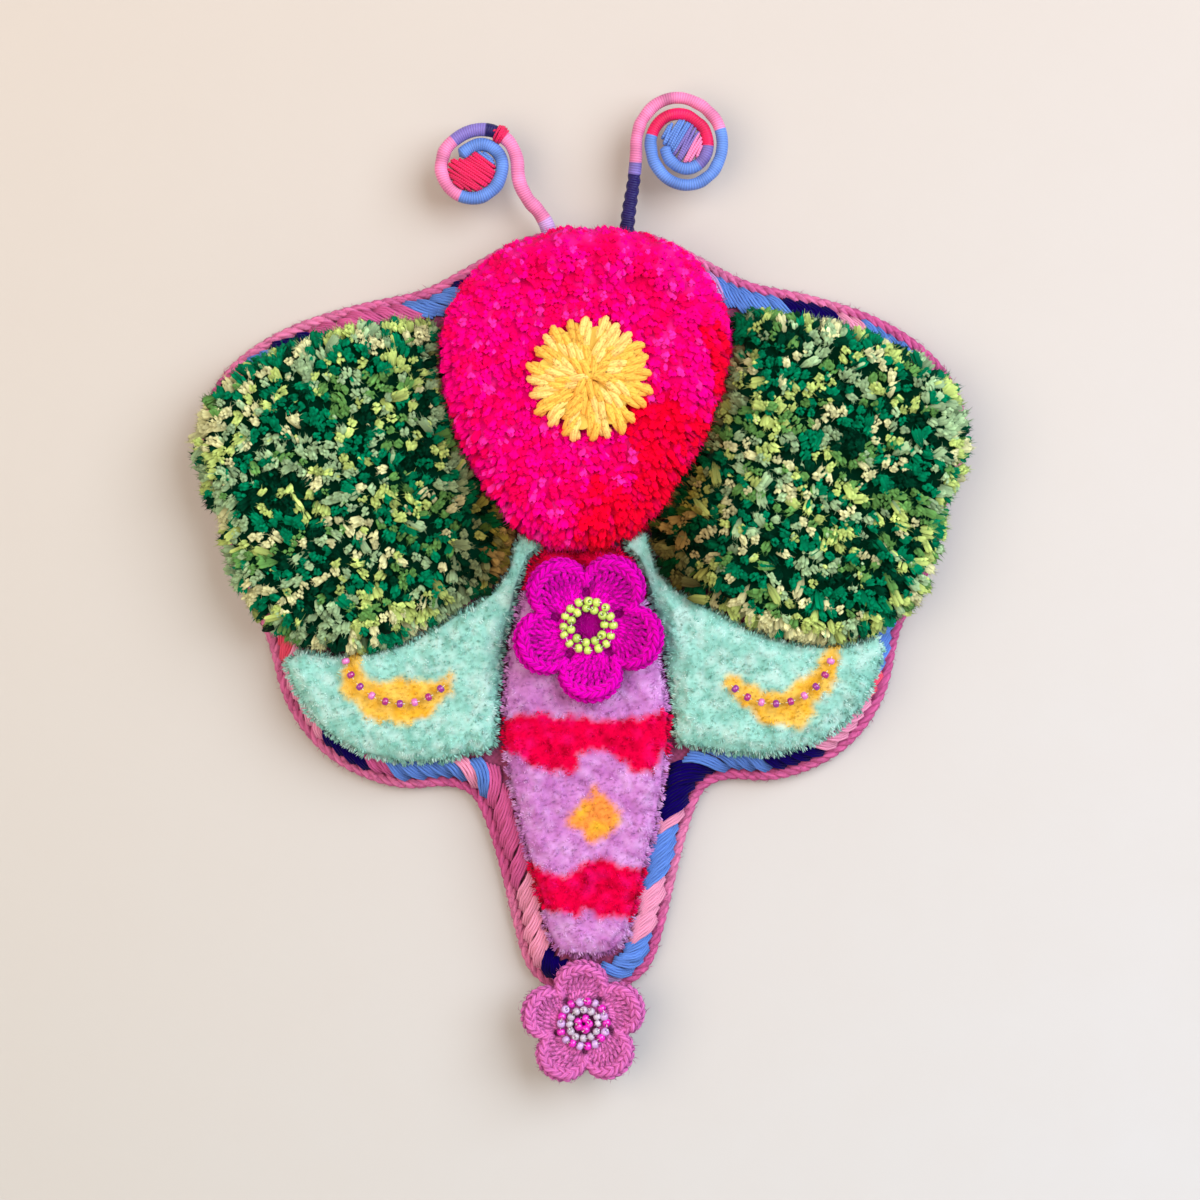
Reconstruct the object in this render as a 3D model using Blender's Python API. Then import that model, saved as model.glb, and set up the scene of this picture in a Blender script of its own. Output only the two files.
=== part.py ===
"""Moth wall hanging in cut pile, loops, cord, wrapped wire and crochet.

A wadded base panel carries six panels of cut pile: a head, two forewings, two
hindwings and a tapering abdomen. A looped rosette sits in the head. A twisted rope
runs round the edge of the base, and a thinner overcasting yarn runs in front of it
from one feeler round the tail to the other. Two feelers of wire, wrapped in thread,
stand in grooves in the top edge, in front of the rope, and two crocheted flowers are
sewn on at the waist and at the tail.

+X is the viewer's right, +Z is up. The wall is the plane Y = 0, and the hanging faces
along -Y. The origin is the middle of the base's top edge, on the wall plane. Lengths
in the tables are millimetres, and a depth is the distance in front of the wall.
"""

import math
import random
from collections import namedtuple

import bmesh
import bpy
from mathutils import Vector, geometry

MM = 0.001
GAP = 0.3  # clearance between pieces that touch
SEED = 7

# How far hand work strays from the drawn shape, and how slowly it does so.
STRAY_X, STRAY_X_WAVE, STRAY_X_START = 1.3, 41.0, 0.7
STRAY_Z, STRAY_Z_WAVE, STRAY_Z_START = 1.5, 47.0, 0.4

BASE_DEPTH = 11.0  # wall to the face that carries the pile
SEAT = BASE_DEPTH + GAP  # where the pile panels begin
RING_STEP = 1.0  # spacing of the points that shapes are trimmed with
BASE_STEP = 6.0  # spacing of the base's own corners

ROPE_RADIUS, ROPE_DEPTH, ROPE_STEP = 2.1, 3.2, 6.0
EDGING_RADIUS, EDGING_DEPTH, EDGING_STEP = 1.7, 9.0, 6.0
EDGING_OUTSET = 0.2  # from the base's outline to the middle of the edging yarn
NECK = -20.0  # above this the edging yarn stops on either side of the feelers

STALK_RADIUS = 2.6
FEELER_ROOT, GROOVE_DEEP = 13.0, 12.0
FEELER_ROOT_DEPTH = ROPE_DEPTH + ROPE_RADIUS + GAP + STALK_RADIUS  # just in front of the rope
FEELER_TIP_DEPTH = 13.0
FEELER_STEP = 3.0
TURN_GAP = 0.6  # between the turns of a curled feeler
DRAWN_IN = 0.36  # share of each turn in which a curl is drawn in to the next one
EYE_GAP = 0.2
EYE_SEGMENTS = 24

Knot = namedtuple("Knot", "place x z")
Level = namedtuple("Level", "place depth inset")
Seat = namedtuple("Seat", "x z radius depth")
Feeler = namedtuple("Feeler", "side curl_x curl_z curl_radius tall turns cord_radius eye")
Eye = namedtuple("Eye", "x z radius")
Petals = namedtuple("Petals", "count radius waist bite turn rise dip ribs")
Profile = namedtuple("Profile", "share rise")

# Half outlines, from the top down the right-hand side.
BASE_HALF = (
    Knot("top edge", 0, 0),
    Knot("crown of the head", 20, -2),
    Knot("shoulder", 38, -11),
    Knot("neck", 54, -19),
    Knot("leading edge", 76, -23.5),
    Knot("leading edge, outer", 99, -31),
    Knot("wing tip, upper", 117, -43.5),
    Knot("wing tip", 125, -60),
    Knot("outer margin", 123, -77),
    Knot("outer margin, middle", 117.5, -91),
    Knot("outer margin, lower", 114, -108),
    Knot("join of the wings", 103, -129),
    Knot("hindwing, outer", 97, -152),
    Knot("hindwing, lower", 84, -169),
    Knot("hindwing, bottom", 64, -178),
    Knot("hindwing, inner", 48, -177.5),
    Knot("waist notch", 36.5, -181.5),
    Knot("abdomen, upper", 30.5, -193),
    Knot("abdomen, middle", 25.5, -210),
    Knot("abdomen, lower", 20.5, -231),
    Knot("tail corner", 15, -245.5),
    Knot("tail", 0, -250),
)
HEAD_HALF = (
    Knot("top", 0, 5.5),
    Knot("crown", 25, 1),
    Knot("temple", 42, -13),
    Knot("widest", 48.5, -34),
    Knot("cheek", 44, -58),
    Knot("lower cheek", 33, -80),
    Knot("chin corner", 20, -96),
    Knot("chin", 0, -102),
)
ABDOMEN_HALF = (
    Knot("top", 0, -103),
    Knot("top corner", 15, -105),
    Knot("under the flower", 21, -120),
    Knot("hip", 26.5, -142),
    Knot("widest", 28.5, -164),
    Knot("upper", 25.5, -188),
    Knot("middle", 20.5, -208),
    Knot("lower", 16, -226),
    Knot("tail corner", 11.5, -238.5),
    Knot("tail", 0, -241),
)
# Whole outlines of the right-hand wings, clockwise.
FOREWING = (
    Knot("under the head, upper", 28, -36),
    Knot("leading edge, inner", 50, -25.5),
    Knot("leading edge", 76, -26.5),
    Knot("leading edge, outer", 101, -33.5),
    Knot("above the tip", 121, -46),
    Knot("tip", 129.5, -62),
    Knot("below the tip", 127.5, -79),
    Knot("outer margin", 121.5, -92),
    Knot("outer margin, lower", 119, -107),
    Knot("lower corner", 110, -124),
    Knot("hem", 93, -134.5),
    Knot("hem, middle", 70, -135),
    Knot("hem, inner", 48, -126),
    Knot("under the head, lower", 24, -104),
)
HINDWING = (
    Knot("root", 14, -100),
    Knot("under the forewing", 60, -112),
    Knot("outer top", 98, -118),
    Knot("outer", 101, -138),
    Knot("outer, lower", 95, -155),
    Knot("lower", 81, -168.5),
    Knot("bottom", 62, -174.5),
    Knot("inner, lower", 43, -173),
    Knot("inner", 27, -164),
)
BASE_LEVELS = (
    Level("wall face", 0, 0.8),
    Level("back edge", 0.8, 0),
    Level("side", 5.0, 0),
    Level("front edge", 10.2, 3.4),
    Level("front face", BASE_DEPTH, 4.6),
)
# Each pile panel's own sizes: full height, how wide its rounded shoulder is, the
# spacing of its lumps and how far they stand out.
Pile = namedtuple("Pile", "rise shoulder pitch lump")
HEAD_PILE = Pile(17.5, 9.0, 4.8, 0.9)
FOREWING_PILE = Pile(14.5, 8.0, 5.0, 1.0)
HINDWING_PILE = Pile(8.5, 5.0, 5.4, 0.4)
ABDOMEN_PILE = Pile(9.0, 5.0, 5.4, 0.4)
SHOULDER_START = 0.68  # share of a panel's height at which its shoulder begins
BELLY = 0.38  # share of the height at which a panel is widest
SEAT_INSET, RIM_INSET = 1.6, 1.0
SHARPEST, CROWDED = math.radians(80), 0.6  # corners left out of a panel's rim

ROSETTE_PLACE, FLOWER_PLACE, TAIL_FLOWER_PLACE = (0.5, -48.0), (0.0, -129.5), (-1.5, -262.5)
ROSETTE_BACK = SEAT + HEAD_PILE.rise + GAP
FLOWER_BACK = SEAT + ABDOMEN_PILE.rise + 1.0
TAIL_FLOWER_BACK = BASE_DEPTH + GAP
ROSETTE = Petals(8, 20.0, 0.78, 0.5, 12.0, 5.0, 0.35, 0.0)
FLOWER = Petals(5, 25.5, 0.52, 0.42, 15.0, 7.0, 0.55, 0.4)
TAIL_FLOWER = Petals(5, 21.0, 0.52, 0.42, -21.0, 6.0, 0.5, 0.4)
# Front of a flower from its middle to its edge: share of the radius, share of the rise.
FLOWER_PROFILE = (
    Profile(0.16, 0.62),
    Profile(0.36, 0.52),
    Profile(0.56, 0.62),
    Profile(0.76, 0.88),
    Profile(0.92, 1.0),
    Profile(1.0, 0.6),
)
STEPS_PER_PETAL = 10

FEELERS = {
    "left": Feeler(-1, 39.0, 24.5, 10.2, 1.05, 1.36, 2.3, Eye(0.3, -1.8, 8.0)),
    "right": Feeler(1, 33.0, 32.0, 12.0, 1.15, 1.97, 2.1, Eye(-0.5, 0.3, 7.6)),
}


def handmade(x, z):
    """Strays a drawn point a little, so that the two sides differ; the origin stays put."""
    stray_x = math.sin(z / STRAY_X_WAVE + STRAY_X_START) - math.sin(STRAY_X_START)
    stray_z = math.sin(x / STRAY_Z_WAVE + STRAY_Z_START) - math.sin(STRAY_Z_START)
    return x + STRAY_X * stray_x, z + STRAY_Z * stray_z


def both_sides(half):
    """A closed outline from its right-hand half; both ends of the half lie on the middle line."""
    right = [(k.x, k.z) for k in half]
    left = [(-x, z) for x, z in reversed(right[1:-1])]
    return right + left


def mirrored(knots):
    """The same outline on the left, still running clockwise."""
    return [(-k.x, k.z) for k in reversed(knots)]


def even_ring(ring, step):
    """The ring's points again, spaced evenly at about this step."""
    ends = ring[1:] + ring[:1]
    lengths = [math.dist(a, b) for a, b in zip(ring, ends)]
    count = round(sum(lengths) / step)
    spacing = sum(lengths) / count
    found, walked, at = [], 0.0, 0.0
    for start, end, length in zip(ring, ends, lengths):
        while at < walked + length and len(found) < count:
            share = (at - walked) / length
            found.append(tuple(a + (b - a) * share for a, b in zip(start, end)))
            at += spacing
        walked += length
    return found


def smooth_ring(points, steps=16):
    """A closed smooth curve through the points, strayed as hand work, at RING_STEP."""
    found = []
    for i in range(len(points)):
        before, start, end, after = (Vector(points[(i + k) % len(points)]) for k in (-1, 0, 1, 2))
        for j in range(steps):
            t = j / steps
            bend = (
                2 * start
                + (end - before) * t
                + (2 * before - 5 * start + 4 * end - after) * t**2
                + (3 * start - before - 3 * end + after) * t**3
            )
            found.append(handmade(*(bend / 2)))
    return even_ring(found, RING_STEP)


def grown(ring, by):
    """The clockwise ring moved outwards by that much, or inwards if it is negative."""
    found = []
    for i, (x, z) in enumerate(ring):
        before, after = ring[i - 1], ring[(i + 1) % len(ring)]
        along = Vector((after[0] - before[0], after[1] - before[1])).normalized()
        found.append((x - along.y * by, z + along.x * by))
    return found


def inside(x, z, ring):
    """True if the point lies in the ring."""
    found = False
    for (ax, az), (bx, bz) in zip(ring, ring[1:] + ring[:1]):
        if (az > z) != (bz > z) and x < ax + (z - az) * (bx - ax) / (bz - az):
            found = not found
    return found


def triangles_between(points, rings, wanted):
    """Joins the points and rings into triangles, and keeps those whose middle is wanted."""
    coords, edges = [], []
    for ring in rings:
        first = len(coords)
        coords += ring
        edges += [(first + i, first + (i + 1) % len(ring)) for i in range(len(ring))]
    coords = [Vector(p) for p in coords + points]
    made = geometry.delaunay_2d_cdt(coords, edges, [], 0, 1e-4, False)
    corners = [tuple(v) for v in made[0]]
    faces = []
    for face in made[2]:
        x = sum(corners[i][0] for i in face) / 3
        z = sum(corners[i][1] for i in face) / 3
        if wanted(x, z):
            faces.append(list(face))
    return corners, faces


def trimmed(ring, cutters):
    """What is left of the ring after the cutters, each grown by the gap, are taken from it."""
    cutters = [grown(c, GAP) for c in cutters]
    corners, faces = triangles_between(
        [],
        [ring, *cutters],
        lambda x, z: inside(x, z, ring) and not any(inside(x, z, c) for c in cutters),
    )
    edges = {(f[i], f[(i + 1) % 3]) for f in faces for i in range(3)}
    follow = {a: b for a, b in edges if (b, a) not in edges}
    loops = []
    while follow:
        start, at = follow.popitem()
        loop = [start]
        while at != start:
            loop.append(at)
            at = follow.pop(at)
        loops.append(loop)
    longest = max(loops, key=len)
    return even_ring([corners[i] for i in reversed(longest)], RING_STEP)


def blunted(ring, spacing):
    """The ring without corners that are too sharp or too close together for pile."""
    kept = list(ring)
    dropped = [True]
    while any(dropped):
        dropped = []
        for i, here in enumerate(kept):
            back, on = (Vector(kept[j]) - Vector(here) for j in (i - 1, (i + 1) % len(kept)))
            crowded = back.length < CROWDED * spacing and not (dropped and dropped[-1])
            dropped.append(crowded or back.angle(on) < SHARPEST)
        kept = [p for p, out in zip(kept, dropped) if not out]
    return kept


def away(x, z, ring):
    """How far the point is from the ring's nearest corner."""
    return min(math.dist((x, z), p) for p in ring)


def material(name, colour, roughness=0.9, metallic=0.0):
    """A plain finish for one sub-part."""
    made = bpy.data.materials.new(name)
    made.use_nodes = True
    shader = made.node_tree.nodes["Principled BSDF"]
    shader.inputs["Base Color"].default_value = (*colour, 1.0)
    shader.inputs["Roughness"].default_value = roughness
    shader.inputs["Metallic"].default_value = metallic
    return made


def place(x, depth, z):
    """A point in metres from a place on the face and a depth from the wall."""
    return Vector((x, -depth, z)) * MM


def object_of(name, mesh_or_curve, finish):
    """Links a finished mesh or curve into the scene under this name."""
    made = bpy.data.objects.new(name, mesh_or_curve)
    bpy.context.scene.collection.objects.link(made)
    made.data.materials.append(finish)
    return made


def solid_of(name, sheet, finish):
    """Turns a closed bmesh into an object with smooth faces that point outwards."""
    bmesh.ops.recalc_face_normals(sheet, faces=sheet.faces)
    mesh = bpy.data.meshes.new(name)
    sheet.to_mesh(mesh)
    sheet.free()
    mesh.shade_smooth()
    return object_of(name, mesh, finish)


def bridge(sheet, lower, upper):
    """Joins two loops of as many points with a band of faces."""
    for i in range(len(lower)):
        j = (i + 1) % len(lower)
        sheet.faces.new((lower[i], lower[j], upper[j], upper[i]))


def base_panel(ring, finish):
    """The wadded panel: flat against the wall, with an edge that slopes in to its face."""
    corners = even_ring(ring, BASE_STEP)
    sheet = bmesh.new()
    loops = [
        [sheet.verts.new(place(x, level.depth, z)) for x, z in grown(corners, -level.inset)]
        for level in BASE_LEVELS
    ]
    for lower, upper in zip(loops, loops[1:]):
        bridge(sheet, lower, upper)
    sheet.faces.new(loops[0])
    sheet.faces.new(reversed(loops[-1]))
    return solid_of("base_panel", sheet, finish)


def hex_points(ring, pitch):
    """Points in rows, each row shifted by half a step, that keep clear of the ring."""
    xs, zs = [p[0] for p in ring], [p[1] for p in ring]
    row_height = pitch * math.sqrt(3) / 2
    found = []
    for row in range(int((max(zs) - min(zs)) / row_height) + 1):
        z = min(zs) + row * row_height
        shift = pitch / 2 * (row % 2)
        for column in range(int((max(xs) - min(xs)) / pitch) + 1):
            x = min(xs) + shift + column * pitch
            if inside(x, z, ring) and away(x, z, ring) > 0.6 * pitch:
                found.append((x, z))
    return found


def pile_panel(name, ring, pile, finish, seats=()):
    """A lumpy pad of cut pile with locks at its rim, and a flat place for what is sewn on it."""
    chance = random.Random(f"{SEED} {name}")
    outline = blunted(even_ring(ring, pile.pitch), pile.pitch)
    belly = [
        (x + chance.uniform(-1, 1) * pile.lump, z + chance.uniform(-1, 1) * pile.lump)
        for x, z in grown(outline, -GAP - pile.lump)
    ]
    rim = grown(belly, -RIM_INSET)

    def height(x, z):
        """Depth from the wall of the pile's face."""
        for seat in seats:
            if math.dist((x, z), (seat.x, seat.z)) < seat.radius:
                return seat.depth
        inward = min(away(x, z, rim) / pile.shoulder, 1.0)
        rounding = math.sqrt(1 - (1 - inward) ** 2)
        share = SHOULDER_START + (1 - SHOULDER_START) * rounding
        return SEAT + pile.rise * share + chance.uniform(-1, 1) * pile.lump * rounding

    corners, faces = triangles_between(
        hex_points(rim, pile.pitch), [rim], lambda x, z: inside(x, z, rim)
    )
    sheet = bmesh.new()
    front = [sheet.verts.new(place(x, height(x, z), z)) for x, z in corners]
    for face in faces:
        sheet.faces.new([front[i] for i in face])
    levels = ((grown(belly, -SEAT_INSET), SEAT), (belly, SEAT + BELLY * pile.rise))
    lower, middle = ([sheet.verts.new(place(x, depth, z)) for x, z in loop] for loop, depth in levels)
    bridge(sheet, lower, middle)
    bridge(sheet, middle, front[: len(rim)])
    sheet.faces.new(lower)
    return solid_of(name, sheet, finish)


def edge_line(name, line, radius, depth, closed, finish):
    """A round rope or yarn laid along the line at one depth."""
    curve = bpy.data.curves.new(name, "CURVE")
    curve.dimensions = "3D"
    curve.bevel_depth = radius * MM
    curve.bevel_resolution = 1
    curve.use_fill_caps = not closed
    spline = curve.splines.new("POLY")
    spline.points.add(len(line) - 1)
    for point, (x, z) in zip(spline.points, line):
        point.co = (*place(x, depth, z), 1.0)
    spline.use_cyclic_u = closed
    return object_of(name, curve, finish)


def petal_edge(petals, angle):
    """Share of a flower's radius that its edge reaches at this angle."""
    wave = abs(math.cos(petals.count * angle / 2)) ** petals.bite
    return petals.waist + (1 - petals.waist) * wave


def flower(name, petals, centre, back, finish):
    """A round of cupped petals, ribbed from the middle out, on a flat back."""
    steps = petals.count * STEPS_PER_PETAL
    sheet = bmesh.new()

    def loop(share, height):
        points = []
        for i in range(steps):
            angle = 2 * math.pi * (i + 0.5) / steps
            reach = petals.radius * share * petal_edge(petals, angle)
            cup = 1 - petals.dip * abs(math.sin(petals.count * angle / 2)) ** 4 * share
            rib = petals.ribs * (-1) ** i * share
            level = height * cup + (rib if height else 0.0)
            points.append(sheet.verts.new(place(reach * math.cos(angle), level, reach * math.sin(angle))))
        return points

    loops = [loop(0.9, 0.0)] + [loop(p.share, p.rise * petals.rise) for p in reversed(FLOWER_PROFILE)]
    for lower, upper in zip(loops, loops[1:]):
        bridge(sheet, lower, upper)
    sheet.faces.new(loops[0])
    sheet.faces.new(reversed(loops[-1]))
    made = solid_of(name, sheet, finish)
    made.location = place(centre[0], back, centre[1])
    made.rotation_euler.y = math.radians(petals.turn)
    return made


def feeler_line(feeler):
    """Points along a feeler, from inside its groove up the stalk and round the curl."""
    pitch = 2 * feeler.cord_radius + TURN_GAP
    start_x = feeler.curl_x - feeler.curl_radius - pitch
    root = [(FEELER_ROOT, z) for z in (-GROOVE_DEEP, -GROOVE_DEEP / 2, 0)]
    handles = (root[-1], (FEELER_ROOT, 12), (start_x, feeler.curl_z - 14), (start_x, feeler.curl_z))
    stalk = [tuple(p) for p in geometry.interpolate_bezier(*(Vector(h) for h in handles), 14)]
    curl = []
    for i in range(1, int(feeler.turns * 40) + 1):
        turned = i / 40
        drawn = min((turned % 1) / DRAWN_IN, 1.0)
        inwards = turned // 1 + drawn * drawn * (3 - 2 * drawn)
        reach = feeler.curl_radius + pitch * (1 - inwards)
        angle = math.pi - 2 * math.pi * turned
        x = feeler.curl_x + reach * math.cos(angle)
        curl.append((x, feeler.curl_z + feeler.tall * reach * math.sin(angle)))
    return root, stalk[1:], curl


def wrapped_feeler(side, feeler, finish):
    """A wire wrapped in thread: one closed tube, thinner along its curl."""
    root, stalk, curl = feeler_line(feeler)
    line = root + stalk + curl
    lengths = [0.0]
    for a, b in zip(line, line[1:]):
        lengths.append(lengths[-1] + math.dist(a, b))
    stalk_ends = lengths[len(root) + len(stalk) - 1]
    curve = bpy.data.curves.new(f"feeler_{side}", "CURVE")
    curve.dimensions = "3D"
    curve.bevel_depth = STALK_RADIUS * MM
    curve.bevel_resolution = 2
    curve.use_fill_caps = True
    count = round(lengths[-1] / FEELER_STEP)
    spline = curve.splines.new("POLY")
    spline.points.add(count)
    for i, point in enumerate(spline.points):
        at = lengths[-1] * i / count
        j = next(k for k in range(1, len(lengths)) if lengths[k] >= at - 1e-6)
        share = (at - lengths[j - 1]) / (lengths[j] - lengths[j - 1])
        x, z = (a + (b - a) * share for a, b in zip(line[j - 1], line[j]))
        risen = min(max(at - GROOVE_DEEP, 0.0) / (stalk_ends - GROOVE_DEEP), 1.0)
        eased = risen * risen * (3 - 2 * risen)
        depth = FEELER_ROOT_DEPTH + (FEELER_TIP_DEPTH - FEELER_ROOT_DEPTH) * eased
        point.co = (*place(feeler.side * x, depth, z), 1.0)
        point.radius = 1 + (feeler.cord_radius / STALK_RADIUS - 1) * eased
    return object_of(f"feeler_{side}", curve, finish)


def thread_reach(feeler, angle):
    """How far a curl's threads reach from the eye's middle before they meet the cord."""
    eye = feeler.eye
    cord = [Vector(point) for point in feeler_line(feeler)[2]]
    middle = Vector((feeler.curl_x + eye.x, feeler.curl_z + eye.z))
    way = Vector((math.cos(angle), math.sin(angle)))
    reach = 1.0
    while reach < eye.radius:
        here = middle + way * reach
        if min((here - point).length for point in cord) < feeler.cord_radius + EYE_GAP:
            break
        reach += 0.1
    return reach


def curl_eye(side, feeler, finish):
    """The lens of threads that fills the middle of a curl, from cord to cord."""
    step = 2 * math.pi / EYE_SEGMENTS
    met = [thread_reach(feeler, i * step) for i in range(EYE_SEGMENTS)]
    reach = [
        min(met[i], (met[i - 1] + 2 * met[i] + met[(i + 1) % EYE_SEGMENTS]) / 4)
        for i in range(EYE_SEGMENTS)
    ]
    sheet = bmesh.new()
    bmesh.ops.create_uvsphere(sheet, u_segments=EYE_SEGMENTS, v_segments=8, radius=1)
    for vert in sheet.verts:
        across, up, forward = vert.co
        i = round(math.atan2(up, across) / step) % EYE_SEGMENTS
        vert.co = (
            feeler.side * across * reach[i] * MM, -forward * feeler.cord_radius * MM, up * reach[i] * MM
        )
    made = solid_of(f"curl_eye_{side}", sheet, finish)
    made.location = place(
        feeler.side * (feeler.curl_x + feeler.eye.x), FEELER_TIP_DEPTH, feeler.curl_z + feeler.eye.z
    )
    return made


def cut_grooves(base):
    """Cuts the two grooves in the base's top edge that the feelers stand in."""
    for side, feeler in FEELERS.items():
        sheet = bmesh.new()
        bmesh.ops.create_cone(
            sheet,
            cap_ends=True,
            segments=12,
            radius1=(STALK_RADIUS + 2 * GAP) * MM,
            radius2=(STALK_RADIUS + 2 * GAP) * MM,
            depth=2 * (GROOVE_DEEP + GAP) * MM,
        )
        mesh = bpy.data.meshes.new(f"groove_cutter_{side}")
        sheet.to_mesh(mesh)
        sheet.free()
        cutter = bpy.data.objects.new(mesh.name, mesh)
        bpy.context.scene.collection.objects.link(cutter)
        cutter.location = place(feeler.side * FEELER_ROOT, FEELER_ROOT_DEPTH, 0)
        cutter.hide_render = True
        cutter.display_type = "WIRE"
        cut = base.modifiers.new(f"groove_{side}", "BOOLEAN")
        cut.operation = "DIFFERENCE"
        cut.object = cutter


def main():
    for old in list(bpy.data.objects):
        bpy.data.objects.remove(old)

    base_ring = smooth_ring(both_sides(BASE_HALF))
    head = smooth_ring(both_sides(HEAD_HALF))
    abdomen = trimmed(smooth_ring(both_sides(ABDOMEN_HALF)), [head])
    wings = {}
    for side, outline in (
        ("right", lambda knots: [(k.x, k.z) for k in knots]),
        ("left", mirrored),
    ):
        forewing = trimmed(smooth_ring(outline(FOREWING)), [head])
        hindwing = trimmed(smooth_ring(outline(HINDWING)), [head, forewing, abdomen])
        wings[side] = (forewing, hindwing)

    base = base_panel(base_ring, material("base_cloth", (0.62, 0.20, 0.38)))
    cut_grooves(base)

    rosette_seat = Seat(*ROSETTE_PLACE, ROSETTE.radius + 2.0, ROSETTE_BACK - GAP)
    flower_seat = Seat(*FLOWER_PLACE, 12.0, FLOWER_BACK - GAP)
    pile_panel("pile_head", head, HEAD_PILE, material("pink_pile", (0.83, 0.01, 0.13)), [rosette_seat])
    pile_panel(
        "pile_abdomen", abdomen, ABDOMEN_PILE, material("lavender_pile", (0.52, 0.28, 0.60)), [flower_seat]
    )
    green = material("green_pile", (0.10, 0.25, 0.08))
    mint = material("mint_pile", (0.33, 0.68, 0.60))
    for side, (forewing, hindwing) in wings.items():
        pile_panel(f"pile_forewing_{side}", forewing, FOREWING_PILE, green)
        pile_panel(f"pile_hindwing_{side}", hindwing, HINDWING_PILE, mint)

    rope = even_ring(grown(base_ring, ROPE_RADIUS + GAP), ROPE_STEP)
    edging = even_ring(grown(base_ring, EDGING_OUTSET), EDGING_STEP)
    clear = FEELER_ROOT + STALK_RADIUS + 2 * GAP
    edging = [(x, z) for x, z in edging if z < NECK or abs(x) > clear]
    first = max(range(len(edging)), key=lambda i: math.dist(edging[i - 1], edging[i]))
    edging = edging[first:] + edging[:first]
    rose, blue = material("rose_rope", (0.62, 0.18, 0.37)), material("blue_yarn", (0.18, 0.26, 0.66))
    edge_line("edge_rope", rope, ROPE_RADIUS, ROPE_DEPTH, True, rose)
    edge_line("edge_yarn", edging, EDGING_RADIUS, EDGING_DEPTH, False, blue)

    flower("loop_rosette", ROSETTE, ROSETTE_PLACE, ROSETTE_BACK, material("yellow_loops", (0.90, 0.62, 0.16)))
    magenta = material("magenta_crochet", (0.75, 0.01, 0.46))
    flower("crochet_flower_waist", FLOWER, FLOWER_PLACE, FLOWER_BACK, magenta)
    flower(
        "crochet_flower_tail", TAIL_FLOWER, TAIL_FLOWER_PLACE, TAIL_FLOWER_BACK,
        material("rose_crochet", (0.58, 0.13, 0.33)),
    )

    thread = material("pink_thread", (0.86, 0.30, 0.45), roughness=0.5)
    eye_thread = material("blue_thread", (0.20, 0.30, 0.75), roughness=0.5)
    for side, feeler in FEELERS.items():
        wrapped_feeler(side, feeler, thread)
        curl_eye(side, feeler, eye_thread)


main()
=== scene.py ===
"""Dresses the tufted moth wall hanging: pile, loops, rope, stitches, crochet and beads.

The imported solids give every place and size. Yarn is made strand by strand, from a few
small shapes that are modelled once and copied, and from tubes swept along the yarn's own
path. Lengths are in metres. A depth is a distance in front of the wall, the plane Y = 0.
"""

from __future__ import annotations

import logging
import math
from dataclasses import dataclass, field, replace
from enum import Enum
from typing import Callable, Sequence

import bmesh
import bpy
import numpy as np
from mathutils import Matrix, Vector
from mathutils.bvhtree import BVHTree
from mathutils.kdtree import KDTree


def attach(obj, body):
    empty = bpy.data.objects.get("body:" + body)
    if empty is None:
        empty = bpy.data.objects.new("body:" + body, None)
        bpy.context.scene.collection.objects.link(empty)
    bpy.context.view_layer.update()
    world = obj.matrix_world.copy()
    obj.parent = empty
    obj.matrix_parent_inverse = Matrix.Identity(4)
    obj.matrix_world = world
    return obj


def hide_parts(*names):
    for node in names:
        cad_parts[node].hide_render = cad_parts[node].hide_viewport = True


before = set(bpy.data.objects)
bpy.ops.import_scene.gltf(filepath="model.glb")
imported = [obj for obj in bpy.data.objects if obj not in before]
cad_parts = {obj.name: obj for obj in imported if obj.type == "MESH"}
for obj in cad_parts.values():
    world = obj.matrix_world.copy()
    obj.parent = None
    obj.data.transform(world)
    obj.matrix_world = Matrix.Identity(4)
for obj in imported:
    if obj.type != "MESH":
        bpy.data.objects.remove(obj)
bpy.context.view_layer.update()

MM = 0.001
BODY = "root"
TINT = "Tint"  # colour attribute: a strand's dye, and in its alpha how far up the strand
BAKE_MAP = "OFBake"  # a cell for each strand
YARN_MAP = "Yarn"  # turns round a strand, and metres along it
FORWARD = np.array([0.0, -1.0, 0.0])  # out from the wall
CELL_EDGE = 0.06  # share of a bake cell left free along each side
OWN_SHADING = 0.45  # how much a strand's own roundness tells in its shading
THREAD_PITCH = 0.8 * MM  # from one turn of the winding thread to the next
THREAD = 0.14 * MM  # radius of the thread that beads are sewn with
TRIES = 14  # places tried for each one that fits, when tufts are spread
Array = np.ndarray
Chance = np.random.Generator
Material = bpy.types.Material
Thing = bpy.types.Object

log = logging.getLogger("moth")


def dye(red: int, green: int, blue: int) -> Array:
    """The linear colour that shaders use, from one as seen on a screen, in parts of 255."""
    seen = np.array([red, green, blue]) / 255.0
    return np.where(seen <= 0.04045, seen / 12.92, ((seen + 0.055) / 1.055) ** 2.4)


def unit(vectors: Array) -> Array:
    """Vectors of the same directions, each one long."""
    return vectors / np.maximum(np.linalg.norm(vectors, axis=-1, keepdims=True), 1e-12)


def outward(along: Array) -> Array:
    """Directions to the left of lines that run across the wall."""
    return np.stack([-along[:, 2], np.zeros(len(along)), along[:, 0]], axis=1)


def eased(value: Array) -> Array:
    """A soft step: 0 below 0, 1 above 1, and smooth between."""
    held = np.clip(value, 0.0, 1.0)
    return held * held * (3.0 - 2.0 * held)


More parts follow.
